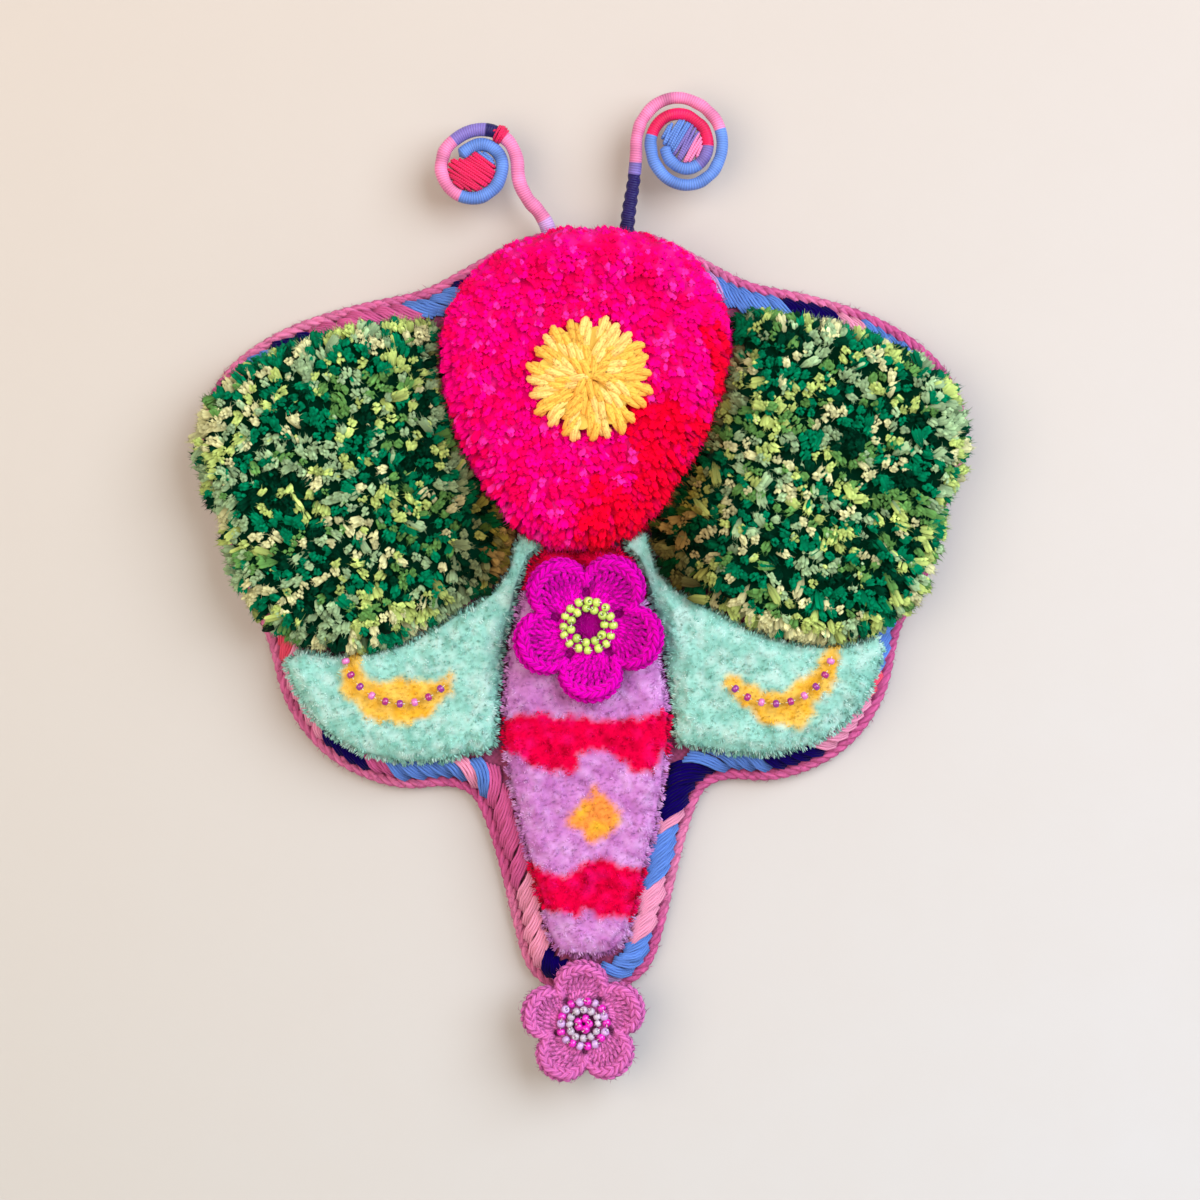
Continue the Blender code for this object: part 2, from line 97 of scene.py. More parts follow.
class Drift:
    """A smooth random field, the sum of a few plane waves."""

    WAVES = 6

    def __init__(self, wave: float, seed: int, width: int = 1) -> None:
        """Draws the waves.

        Args:
            wave: Typical length of a wave.
            seed: Seed of the draw.
            width: Numbers at each point.
        """
        chance = np.random.default_rng(seed)
        self.pushes = unit(chance.normal(size=(width, self.WAVES, 3)))
        self.pushes *= 2 * math.pi / (wave * chance.uniform(0.6, 1.6, (width, self.WAVES, 1)))
        self.starts = chance.uniform(0, 2 * math.pi, (width, self.WAVES))

    def at(self, points: Array) -> Array:
        """Values at the points, a row for each, from about -1 to 1."""
        turns = np.einsum("nc,wvc->nwv", points, self.pushes) + self.starts
        return np.sin(turns).sum(axis=2) * 1.4 / self.WAVES**0.5


# ---- shader nodes


class Value:
    """A number or colour in a shader, used in ordinary expressions."""

    def __init__(self, graph: Graph, socket: bpy.types.NodeSocket) -> None:
        """Wraps an output socket of one of the graph's nodes."""
        self.graph = graph
        self.socket = socket

    def other(self, name: str) -> Value:
        """Another output of the same node."""
        return Value(self.graph, self.socket.node.outputs[name])

    def sum(self, operation: str, first: object, second: object = 0.0) -> Value:
        """The result of one Math node."""
        return self.graph.add("ShaderNodeMath", {"operation": operation}, {0: first, 1: second})

    def __add__(self, right: object) -> Value:
        """self + right, and right + self."""
        return self.sum("ADD", self, right)

    def __mul__(self, right: object) -> Value:
        """self * right, and right * self."""
        return self.sum("MULTIPLY", self, right)

    def __sub__(self, right: object) -> Value:
        """self - right."""
        return self.sum("SUBTRACT", self, right)

    def __rsub__(self, left: object) -> Value:
        """left - self."""
        return self.sum("SUBTRACT", left, self)

    __radd__, __rmul__ = __add__, __mul__

    def sine(self) -> Value:
        """The sine of the value."""
        return self.sum("SINE", self)


class Graph:
    """The nodes of one material."""

    def __init__(self, name: str) -> None:
        """Starts a material with a plain shader.

        Args:
            name: Its name.
        """
        self.material = bpy.data.materials.new(name)
        self.material.use_nodes = True
        self.tree = self.material.node_tree
        self.shader = self.tree.nodes["Principled BSDF"]

    def feed(self, socket: bpy.types.NodeSocket, value: object) -> None:
        """Links a value to a socket, or sets the socket's own value.

        Args:
            socket: The socket of a node's input.
            value: An output of another node, or a number or colour.
        """
        if isinstance(value, Value):
            self.tree.links.new(value.socket, socket)
        elif socket.type == "RGBA":
            socket.default_value = (*value, 1.0)
        else:
            socket.default_value = value

    def add(
        self, kind: str, settings: dict | None = None, inputs: dict | None = None,
        output: int | str = 0,
    ) -> Value:
        """Adds a node.

        Args:
            kind: The node's type.
            settings: Its properties, set first. "stops" holds a ramp's places and colours.
            inputs: Values or links, by the socket's name or number.
            output: The output to return.

        Returns:
            That output.
        """
        node = self.tree.nodes.new(kind)
        for key, value in (settings or {}).items():
            if key == "stops":
                marks = node.color_ramp.elements
                while len(marks) < len(value):
                    marks.new(0.5)
                for mark, (place, colour) in zip(marks, value):
                    mark.position, mark.color = place, (*colour, 1.0)
            else:
                setattr(node, key, value)
        for key, value in (inputs or {}).items():
            self.feed(node.inputs[key], value)
        return Value(self, node.outputs[output])

    def mix(self, share: object, first: object, second: object, blend: str = "MIX") -> Value:
        """Two colours, blended or mixed, and how much of the second there is."""
        settings = {"data_type": "RGBA", "blend_type": blend}
        return self.add("ShaderNodeMix", settings, {0: share, 6: first, 7: second}, output=2)

    def noise(self, scale: float, detail: float = 2.0, where: Value | None = None) -> Value:
        """Noise from 0 to 1, with so many lumps in a metre of the surface or of other coordinates."""
        place = where or self.add("ShaderNodeTexCoord", output="Object")
        return self.add("ShaderNodeTexNoise", {}, {"Vector": place, "Scale": scale, "Detail": detail})

    def bump(self, height: Value, depth: float) -> None:
        """Roughens the shader's normal by a height from 0 to 1, where 1 is so deep."""
        inputs = {"Height": height, "Distance": depth, "Strength": 1.0}
        self.feed(self.shader.inputs["Normal"], self.add("ShaderNodeBump", {}, inputs))

    def set(self, **constants: float) -> None:
        """Sets the shader's own sockets; a name's underscores stand for spaces."""
        for name, value in constants.items():
            self.feed(self.shader.inputs[name.replace("_", " ")], value)


@dataclass(frozen=True)
class YarnFinish:
    """Spun yarn, dyed strand by strand.

    Attributes:
        name: The material's name.
        root: Painted shade: how dark a strand's colour is made at its root.
        fleck: How much the fibres differ in shade.
        roughness: Of the fibres.
        sheen: Weight of the soft shine of loose fibres.
        grain: Lumps of fibre in a metre.
        depth: How deep the fibres' relief is.
        lines: Fibre lines round a strand, slanting along it, darkened in their grooves as painted shade;
            0 for none.
        slant: Turns of those lines in a metre.
        streaks: Streaks of fibre round a strand.
        line_share: How much of the relief those lines are.
        shine: Level of the mirror-like part.
        run: Streaks in a metre along a strand.
        patch: Patches of streaks in a metre of the piece.
    """

    name: str
    root: float = 0.5
    fleck: float = 0.3
    roughness: float = 0.88
    sheen: float = 0.04
    grain: float = 2600.0
    depth: float = 0.00018
    lines: int = 0
    slant: float = 0.0
    streaks: float = 7.0
    line_share: float = 0.4
    shine: float = 0.0
    run: float = 170.0
    patch: float = 90.0

    def made(self) -> Material:
        """Builds the material.

        Returns:
            The material.
        """
        graph = Graph(self.name)
        own = graph.add("ShaderNodeAttribute", {"attribute_name": TINT}, output="Color")
        rise = own.other("Alpha")
        place = graph.add("ShaderNodeTexCoord", output="Object")
        grain = graph.noise(self.grain, where=place)
        around = graph.add("ShaderNodeUVMap", {"uv_map": YARN_MAP})
        split = graph.add("ShaderNodeSeparateXYZ", {}, {0: around})
        spot = graph.add("ShaderNodeSeparateXYZ", {}, {0: place})
        along = split.other("Y")
        run = {0: split * self.streaks, 1: along * self.run, 2: (spot + spot.other("Z")) * self.patch}
        streak = graph.noise(1.0, 3.0, graph.add("ShaderNodeCombineXYZ", {}, run))
        height = streak * 0.6 + grain * 0.4
        # The fibre lines add to the relief, and the colour below darkens in their grooves: painted
        # shade.
        if self.lines:
            turned = (split * self.lines + along * self.slant) * (2 * math.pi)
            half = 0.5 * self.line_share
            height = turned.sine() * half + height * (1 - self.line_share) + half
        # Painted shade: the colour is darkened towards each strand's root, where the pile is deepest.
        shade = (rise * (1.0 - self.root) + self.root) * (height * self.fleck + (1.0 - self.fleck * 0.5))
        graph.set(Roughness=self.roughness, Sheen_Weight=self.sheen, Sheen_Roughness=0.5)
        graph.set(Specular_IOR_Level=self.shine)
        graph.set(Base_Color=graph.mix(1.0, own, shade, "MULTIPLY"))
        graph.bump(height, self.depth)
        return graph.material


@dataclass(frozen=True)
class GlassFinish:
    """Glass beads, lined or clear, with their own tints.

    Attributes:
        name: The material's name.
        roughness: Of the glass.
        clear: Share of the light that passes through.
    """

    name: str
    roughness: float = 0.12
    clear: float = 0.0

    def made(self) -> Material:
        """Builds the material.

        Returns:
            The material.
        """
        graph = Graph(self.name)
        own = graph.add("ShaderNodeAttribute", {"attribute_name": TINT}, output="Color")
        swirl = graph.noise(700.0)
        graph.set(Base_Color=graph.mix(swirl * 0.25, own, (1.0, 1.0, 1.0), "SOFT_LIGHT"))
        graph.set(Roughness=swirl * 0.1 + self.roughness)
        graph.set(Coat_Weight=0.8, Coat_Roughness=0.05, IOR=1.5, Transmission_Weight=self.clear)
        return graph.material


@dataclass(frozen=True)
class ClothFinish:
    """Plain woven backing cloth.

    Attributes:
        name: The material's name.
        colour: The cloth's dye.
        threads: Threads in a metre.
        slubs: Uneven places in a metre.
        fibres: Lumps of fibre in a metre.
        patches: Worn patches in a metre.
    """

    name: str
    colour: tuple
    threads: float = 900.0
    slubs: float = 60.0
    fibres: float = 1800.0
    patches: float = 35.0

    def made(self) -> Material:
        """Builds the material.

        Returns:
            The material.
        """
        graph = Graph(self.name)
        place = graph.add("ShaderNodeTexCoord", output="Object")
        split = graph.add("ShaderNodeSeparateXYZ", {}, {0: place})
        wobble = graph.noise(self.slubs, where=place) * 1.5
        pace = self.threads * math.pi
        warp, weft = ((way * pace + wobble).sine() for way in (split, split.other("Z")))
        weave = warp * weft * 0.35 + 0.5 + graph.noise(self.fibres, where=place) * 0.3
        worn = graph.noise(self.patches, where=place) * 0.3 + 0.7
        shade = (weave * 0.45 + 0.6) * worn
        graph.set(Base_Color=graph.mix(1.0, self.colour, shade, "MULTIPLY"))
        graph.set(Roughness=0.9, Sheen_Weight=0.2, Specular_IOR_Level=0.2)
        graph.bump(weave, 0.0003)
        return graph.material


# ---- small shapes and copies


class Unroll(Enum):
    """How a small shape's surface is laid out flat for the bake."""

    AROUND = "round the Z axis, from the lowest point to the highest"
    RING = "round a ring about the Z axis, and round its section"
    FRONT = "as seen from the front"


@dataclass
class Model:
    """A small shape, modelled once and copied many times.

    Attributes:
        points: Its corners' places.
        corners: The point at each face's corners, face after face.
        counts: How many corners each face has.
        places: Where each face corner lies in the bake's cell, from 0 to 1.
    """

    points: Array
    corners: Array
    counts: Array
    places: Array

    @property
    def cells(self) -> Array:
        """The bake cell of each face corner, one and the same."""
        return np.zeros(len(self.corners), int)

    @classmethod
    def taken(cls, shape: Thing, unroll: Unroll) -> Model:
        """Reads a modelled object and removes it.

        Args:
            shape: The object, at the origin.
            unroll: How its surface is laid out.

        Returns:
            The shape.
        """
        mesh = shape.data
        points = read(mesh.vertices, "co", 3)
        corners = read(mesh.loops, "vertex_index", 1, np.int32)
        counts = read(mesh.polygons, "loop_total", 1, np.int32)
        bpy.data.objects.remove(shape)
        at = points[corners]
        if unroll is Unroll.FRONT:
            places = at[:, (0, 2)]
        else:
            out = np.hypot(at[:, 0], at[:, 1])
            turn = cls.unwound(np.arctan2(at[:, 1], at[:, 0]), out > 1e-6, counts)
            if unroll is Unroll.AROUND:
                places = np.stack([turn, at[:, 2]], axis=1)
            else:
                middle = (out.max() + out.min()) / 2
                section = np.arctan2(at[:, 2], out - middle)
                places = np.stack([turn, cls.unwound(section, out > 0, counts)], axis=1)
        low = places.min(axis=0)
        places = (places - low) / np.maximum(places.max(axis=0) - low, 1e-9)
        return cls(points, corners, counts, places)

    @staticmethod
    def unwound(angles: Array, sure: Array, counts: Array) -> Array:
        """Angles at face corners without a jump inside any face.

        Args:
            angles: An angle for each corner.
            sure: Whether that angle means anything; it doesn't at a pole.
            counts: Corners of each face.

        Returns:
            The angles, with those at a pole set to their face's middle.
        """
        found = angles.copy()
        start = 0
        for count in counts:
            part = slice(start, start + count)
            real = angles[part][sure[part]]
            middle = math.atan2(np.sin(real).mean(), np.cos(real).mean())
            gap = (angles[part] - middle + math.pi) % (2 * math.pi) - math.pi
            found[part] = np.where(sure[part], middle + gap, middle)
            start += count
        return found


def read(items: object, name: str, width: int, kind: type = np.float64) -> Array:
    """Reads one property of all the items of a mesh.

    Args:
        items: The vertices, loops or polygons.
        name: The property.
        width: Numbers in each.
        kind: The numbers' type.

    Returns:
        The numbers, a row for each item.
    """
    found = np.empty(len(items) * width, np.float32 if kind is np.float64 else kind)
    items.foreach_get(name, found)
    return found.astype(kind).reshape(-1, width) if width > 1 else found.astype(kind)


class Bench:
    """Shapes modelled with Blender's own tools."""

    @staticmethod
    def cleared() -> None:
        """Leaves edit mode and selects nothing."""
        if bpy.context.mode != "OBJECT":
            bpy.ops.object.mode_set(mode="OBJECT")
        bpy.ops.object.select_all(action="DESELECT")

    @staticmethod
    def chosen(shape: Thing, wanted: Callable[[Vector], bool]) -> None:
        """Selects the shape's points that are wanted, in edit mode.

        Args:
            shape: The active object, in edit mode.
            wanted: Says for a point's place whether it is selected.
        """
        bpy.ops.mesh.select_mode(type="VERT")
        bpy.ops.mesh.select_all(action="DESELECT")
        sheet = bmesh.from_edit_mesh(shape.data)
        for vert in sheet.verts:
            vert.select = wanted(vert.co)
        sheet.select_flush_mode()
        bmesh.update_edit_mesh(shape.data)

    @classmethod
    def strand(cls, sides: int, levels: Sequence[tuple[float, float]]) -> Model:
        """A round strand one long and about one in radius, pointed at both ends.

        Args:
            sides: Sides of its section.
            levels: Height and radius of each ring of points, from the root up.

        Returns:
            The strand, along Z.
        """
        cls.cleared()
        low, wide = levels[0]
        bpy.ops.mesh.primitive_circle_add(
            vertices=sides, radius=wide, fill_type="NGON", location=(0, 0, low), rotation=(0, 0, 0)
        )
        shape = bpy.context.object
        bpy.ops.object.transform_apply(location=True, rotation=True, scale=True)
        bpy.ops.object.mode_set(mode="EDIT")
        before = levels[0]
        for level in levels[1:]:
            cls.chosen(shape, lambda co: abs(co.z - before[0]) < 1e-5)
            bpy.ops.mesh.extrude_region_move(
                TRANSFORM_OT_translate={"value": (0, 0, level[0] - before[0])}
            )
            size = level[1] / before[1]
            bpy.ops.transform.resize(value=(size, size, 1), center_override=(0, 0, 0))
            before = level
        for height, end in ((low, 0.0), (before[0], 1.0)):
            cls.chosen(shape, lambda co: abs(co.z - height) < 1e-5)
            bpy.ops.mesh.extrude_region_move(
                TRANSFORM_OT_translate={"value": (0, 0, end - height)}
            )
            bpy.ops.mesh.merge(type="CENTER")
        bpy.ops.mesh.select_all(action="SELECT")
        bpy.ops.mesh.remove_doubles(threshold=1e-6)
        bpy.ops.mesh.normals_make_consistent(inside=False)
        bpy.ops.object.mode_set(mode="OBJECT")
        return Model.taken(shape, Unroll.AROUND)

    @classmethod
    def fibre(cls) -> Model:
        """A single fibre: a strand of three sides, thickest near its root."""
        return cls.strand(3, ((0.3, 1.0),))

    @classmethod
    def bead(cls, hole: float, height: float) -> Model:
        """A round bead one in radius, with its hole along Z.

        Args:
            hole: Radius of the hole.
            height: Half the bead's height.

        Returns:
            The bead.
        """
        cls.cleared()
        bpy.ops.mesh.primitive_torus_add(
            major_segments=12, minor_segments=8, abso_major_rad=1.0, abso_minor_rad=hole,
            mode="EXT_INT", location=(0, 0, 0), rotation=(0, 0, 0),
        )
        shape = bpy.context.object
        bpy.ops.object.mode_set(mode="EDIT")
        bpy.ops.mesh.select_all(action="SELECT")
        tall = height / ((1.0 - hole) / 2)
        bpy.ops.transform.resize(value=(1, 1, tall), center_override=(0, 0, 0))
        bpy.ops.object.mode_set(mode="OBJECT")
        return Model.taken(shape, Unroll.RING)

    @classmethod
    def ground(cls, node: str, shrink: float, cuts: int = 0) -> Model:
        """The skin of a solid, closed and drawn in a little.

        Args:
            node: The solid's node.
            shrink: How far it is drawn in.
            cuts: How finely its front is divided.

        Returns:
            The skin, where it lies.
        """
        cls.cleared()
        shape = bpy.data.objects.new("ground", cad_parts[node].data.copy())
        bpy.context.scene.collection.objects.link(shape)
        shape.select_set(True)
        bpy.context.view_layer.objects.active = shape
        bpy.ops.object.mode_set(mode="EDIT")
        bpy.ops.mesh.select_all(action="SELECT")
        bpy.ops.mesh.remove_doubles(threshold=1e-6)
        bpy.ops.transform.shrink_fatten(value=-shrink)
        if cuts:
            bpy.ops.mesh.select_mode(type="FACE")
            sheet = bmesh.from_edit_mesh(shape.data)
            sheet.normal_update()
            for face in sheet.faces:
                face.select = face.normal.y < -0.3
            sheet.select_flush_mode()
            bmesh.update_edit_mesh(shape.data)
            bpy.ops.mesh.subdivide(number_cuts=cuts)
        bpy.ops.object.mode_set(mode="OBJECT")
        return Model.taken(shape, Unroll.FRONT)


@dataclass
class Tube:
    """The faces of one length of yarn.

    Attributes:
        corners: The point at each face's corners, ring after ring, then the two tips.
        counts: How many corners each face has.
        places: Where each face corner lies in its bake cell, from 0 to 1.
        cells: Each face corner's bake cell.
        rings: The step along the yarn at which each face corner lies.
    """

    corners: Array
    counts: Array
    places: Array
    cells: Array
    rings: Array
    IN_CELL = 24  # steps along a yarn that share one bake cell

    @classmethod
    def height(cls, steps: Array) -> Array:
        """How far up their bake cell places lie, so many steps from its foot."""
        return CELL_EDGE + (1 - 2 * CELL_EDGE) * steps / cls.IN_CELL

    @classmethod
    def laid(cls, rings: int, sides: int, closed: bool) -> Tube:
        """The faces round the yarn, and at its ends if it has them.

        Args:
            rings: Rings of points along it.
            sides: Sides of its section.
            closed: Whether it ends where it starts.

        Returns:
            The faces.
        """
        bands = rings if closed else rings - 1
        band, turn = (grid.ravel() for grid in np.mgrid[0:bands, 0:sides])
        ring = np.stack([band, band, band + 1, band + 1], axis=1)
        spoke = np.stack([turn, turn + 1, turn + 1, turn], axis=1)
        cell = np.repeat(band // cls.IN_CELL, 4).reshape(-1, 4)
        up = cls.height(ring - cell * cls.IN_CELL)
        corners = ((ring % rings) * sides + spoke % sides).ravel()
        places = np.stack([spoke / sides, up], axis=2).reshape(-1, 2)
        tube = cls(corners, np.full(bands * sides, 4), places, cell.ravel(), ring.ravel())
        return tube if closed else tube.capped(rings, sides)

    def capped(self, rings: int, sides: int) -> Tube:
        """The same faces and a fan of triangles over each end.

        Args:
            rings: Rings of points along the yarn.
            sides: Sides of its section.

        Returns:
            All the faces.
        """
        spoke = np.arange(sides)
        after, tip = (spoke + 1) % sides, np.full(sides, rings * sides)
        last, last_cell = (rings - 1) * sides, (rings - 2) // self.IN_CELL
        ends = np.stack([tip, after, spoke, tip + 1, last + spoke, last + after], axis=1)
        top = self.height(rings - 1 - last_cell * self.IN_CELL)
        up = np.array([0.0, CELL_EDGE, CELL_EDGE, min(top + CELL_EDGE, 1.0), top, top])
        half = spoke + 0.5
        across = np.stack([half, spoke + 1, spoke, half, spoke, spoke + 1], axis=1) / sides
        places = np.stack([across, np.broadcast_to(up, across.shape)], axis=2).reshape(-1, 2)
        cells, steps = (np.tile(np.repeat([0, far], 3), sides) for far in (last_cell, rings - 1))
        added = (ends.ravel(), np.full(2 * sides, 3), places, cells, steps)
        own = (self.corners, self.counts, self.places, self.cells, self.rings)
        return Tube(*(np.concatenate(pair) for pair in zip(own, added)))


class Heap:
    """Copies of small shapes and lengths of yarn, gathered into one mesh."""

    def __init__(self) -> None:
        """Starts empty."""
        keys = ("points", "tints", "corners", "counts", "places", "cells", "yarns", "ways")
        self.parts: dict[str, list[Array]] = {key: [] for key in keys}
        self.point_count = 0
        self.cell_count = 0

    def add(
        self, shape: Model | Tube, points: Array, tints: Array, along: Array, ways: Array | None = None,
    ) -> None:
        """Adds K copies of a shape's faces.

        Args:
            shape: The faces of one copy.
            points: K rows of its points' places.
            tints: K rows of their colours, with the rise as alpha.
            along: K rows of its face corners' metres along the strand.
            ways: K directions that soften the shading, or nothing.
        """
        many, size = points.shape[:2]
        each = np.arange(many)[:, None]
        corners = each * size + shape.corners + self.point_count
        cells = each * (shape.cells.max() + 1) + shape.cells + self.cell_count
        rows = (
            points.reshape(-1, 3), tints.reshape(-1, 4), corners.ravel(), np.tile(shape.counts, many),
            np.tile(shape.places, (many, 1)), cells.ravel(),
            np.stack([np.tile(shape.places[:, 0], many), along.ravel()], axis=1),
            np.repeat(np.zeros((many, 3)) if ways is None else ways, size, axis=0),
        )
        for key, row in zip(self.parts, rows):
            self.parts[key].append(row)
        self.point_count += many * size
        self.cell_count = int(cells.max()) + 1

    def copies(
        self, model: Model, points: Array, tints: Array, rise: Array, long: Array | float = 0.0,
        ways: Array | None = None,
    ) -> None:
        """Adds K copies of a shape.

        Args:
            model: The shape.
            points: K rows of its points' places.
            tints: K colours, or K rows of a colour for each point.
            rise: How far up the strand each of its points is.
            long: The length of each copy.
            ways: K directions that soften the shading, or nothing.
        """
        many, size = points.shape[:2]
        colours = np.empty((many, size, 4))
        colours[..., :3] = tints if tints.ndim == 3 else tints[:, None]
        colours[..., 3] = rise
        along = model.places[:, 1] * np.broadcast_to(np.reshape(long, (-1, 1)), (many, 1))
        self.add(model, points, colours, along, ways)

    def grounded(self, node: str, shrink: float, tint: Array, rise: float) -> None:
        """Adds a solid's skin in one dye.

        Args:
            node: The solid's node.
            shrink: How far the skin is drawn in.
            tint: Its dye.
            rise: As if so far up a strand: how much the yarn's painted root shade darkens it.
        """
        ground = Bench.ground(node, shrink)
        tints = np.tile(tint, (1, len(ground.points), 1))
        self.copies(ground, ground.points[None], tints, np.full(len(ground.points), rise))

    def bent(
        self, model: Model, start: Array, middle: Array, end: Array, radius: Array, tints: Array,
        ways: Array | None = None,
    ) -> None:
        """Adds copies of a strand, each bent along its own curve.

        Args:
            model: The strand, along Z from 0 to 1.
            start: K places of the roots.
            middle: K places that the curves bend towards.
            end: K places of the tips.
            radius: K radii.
            tints: K colours.
            ways: K directions that soften the shading, or nothing.
        """
        rise = model.points[:, 2]
        t = rise[None, :, None]
        start, middle, end = (places[:, None, :] for places in (start, middle, end))
        line = (1 - t) ** 2 * start + 2 * t * (1 - t) * middle + t**2 * end
        along = unit(2 * (1 - t) * (middle - start) + 2 * t * (end - middle))
        chord = unit(end - start)
        spare = np.where(np.abs(chord[..., :1]) < 0.7, [[[1.0, 0, 0]]], [[[0, 0, 1.0]]])
        side = unit(np.cross(chord, spare))
        side = unit(side - (side * along).sum(-1, keepdims=True) * along)
        across = np.cross(along, side)
        wide = np.reshape(radius, (-1, 1, 1))
        flat = model.points[None]
        points = line + wide * (flat[..., :1] * side + flat[..., 1:2] * across)
        self.copies(model, points, tints, rise, np.linalg.norm(end - start, axis=-1)[:, 0], ways)

    def fuzzed(
        self, spots: Array, ways: Array, tints: Array, long: float, chance: Chance,
    ) -> None:
        """Adds loose fibres that lie over yarn.

        Args:
            spots: K places on the yarn.
            ways: K directions out of it.
            tints: K colours.
            long: About how long the fibres are.
            chance: The random numbers.
        """
        along = chance.normal(size=spots.shape)
        along = unit(along - (along * ways).sum(1, keepdims=True) * ways)
        size = long * chance.uniform(0.5, 1.4, (len(spots), 1))
        middle = spots + along * size * 0.5 + ways * size * chance.uniform(0.1, 0.7, size.shape)
        far = spots + along * size + ways * size * chance.uniform(-0.2, 0.6, size.shape)
        fine = chance.uniform(0.07, 0.13, len(spots)) * MM
        self.bent(Bench.fibre(), spots, middle, far, fine, tints, unit(ways + FORWARD))

    def placed(self, model: Model, centres: Array, axes: Array, size: Array, tints: Array) -> None:
        """Adds copies of a shape, each turned to its own axis.

        Args:
            model: The shape, about Z.
            centres: K places.
            axes: K directions for its Z.
            size: K sizes.
            tints: K colours.
        """
        axes = unit(axes)
        spare = np.where(np.abs(axes[:, :1]) < 0.7, [[1.0, 0, 0]], [[0, 0, 1.0]])
        side = unit(np.cross(spare, axes))
        turned = np.stack([side, np.cross(axes, side), axes], axis=1)
        points = np.einsum("vi,kij->kvj", model.points, turned) * np.reshape(size, (-1, 1, 1))
        self.copies(model, points + centres[:, None], tints, np.ones(len(model.points)))

    def swept(
        self, lines: Array, radius: Array | float, tints: Array, sides: int = 6, closed: bool = False,
        up: Array = FORWARD, relief: Callable[[Array, Array], Array] | None = None,
    ) -> None:
        """Adds lengths of yarn.

        Args:
            lines: K rows of R places along each yarn.
            radius: Its radius, or R or K x R of them.
            tints: K colours, or K rows of R.
            sides: Sides of its section.
            closed: Whether each yarn ends where it starts.
            up: A direction that the yarns don't run along.
            relief: Gives a factor on the radius from metres along and the angle round.
        """
        many, rings = lines.shape[:2]
        ahead, side, across = Yarn.frames(lines, closed, up)
        angle = np.arange(sides) * 2 * math.pi / sides
        wide = np.broadcast_to(np.asarray(radius, float), (many, rings))[..., None]
        steps = np.linalg.norm(np.diff(lines, axis=1), axis=2)
        walked = np.concatenate([np.zeros((many, 1)), np.cumsum(steps, axis=1)], axis=1)
        if relief:
            wide = wide * relief(walked[..., None], angle[None, None])
        wide = np.broadcast_to(wide, (many, rings, sides))[..., None]
        spokes = np.cos(angle)[:, None] * side[:, :, None]
        spokes = spokes + np.sin(angle)[:, None] * across[:, :, None]
        points = (lines[:, :, None] + wide * spokes).reshape(many, -1, 3)
        colours = np.ones((many, rings, sides, 4))
        colours[..., :3] = tints[:, :, None] if tints.ndim == 3 else tints[:, None, None]
        colours = colours.reshape(many, -1, 4)
        if not closed:
            tips = ahead[:, (0, -1)] * wide[:, (0, -1), 0] * 0.6 * [[[-1], [1]]]
            points = np.concatenate([points, lines[:, (0, -1)] + tips], axis=1)
            colours = np.concatenate([colours, colours[:, (0, -1)]], axis=1)
        tube = Tube.laid(rings, sides, closed)
        total = np.concatenate([walked, walked[:, -1:] + steps.mean()], axis=1)
        self.add(tube, points, colours, total[:, tube.rings])

    def made(self, name: str, finish: Material, slot: str, nodes: Sequence[str] = ()) -> Thing:
        """Builds the piece, parents it to the body's empty and hides the solids it stands for.

        Args:
            name: The piece's name.
            finish: Its material.
            slot: The material slot of the record that it wears; not used.
            nodes: The solids that it stands for.

        Returns:
            The piece.
        """
        whole = {key: np.concatenate(rows) for key, rows in self.parts.items()}
        mesh = bpy.data.meshes.new(name)
        mesh.vertices.add(len(whole["points"]))
        mesh.vertices.foreach_set("co", whole["points"].astype(np.float32).ravel())
        mesh.loops.add(len(whole["corners"]))
        mesh.loops.foreach_set("vertex_index", whole["corners"].astype(np.int32))
        mesh.polygons.add(len(whole["counts"]))
        starts = np.concatenate([[0], np.cumsum(whole["counts"])[:-1]])
        mesh.polygons.foreach_set("loop_start", starts.astype(np.int32))
        mesh.update(calc_edges=True)
        mesh.shade_smooth()
        tint = mesh.color_attributes.new(TINT, "FLOAT_COLOR", "POINT")
        tint.data.foreach_set("color", np.clip(whole["tints"], 0, 1).astype(np.float32).ravel())
        across = math.ceil(math.sqrt(self.cell_count))
        corner = np.stack([whole["cells"] % across, whole["cells"] // across], axis=1)
        bake = (corner + CELL_EDGE + (1 - 2 * CELL_EDGE) * whole["places"]) / across
        for layer, places in ((BAKE_MAP, bake), (YARN_MAP, whole["yarns"])):
            places = places.astype(np.float32).ravel()
            mesh.uv_layers.new(name=layer).uv.foreach_set("vector", places)
        mesh.validate()
        ways = whole["ways"]
        if ways.any():
            own = read(mesh.vertices, "normal", 3)
            soft = np.where(ways.any(axis=1, keepdims=True), unit(own * OWN_SHADING + ways), own)
            mesh.normals_split_custom_set_from_vertices(soft.tolist())
        piece = bpy.data.objects.new(name, mesh)
        bpy.context.scene.collection.objects.link(piece)
        mesh.materials.append(finish)
        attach(piece, BODY)
        if nodes:
            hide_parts(*nodes)
        triangles = int((whole["counts"] - 2).sum())
        log.info("%s: %d triangles in %d cells", name, triangles, self.cell_count)
        return piece


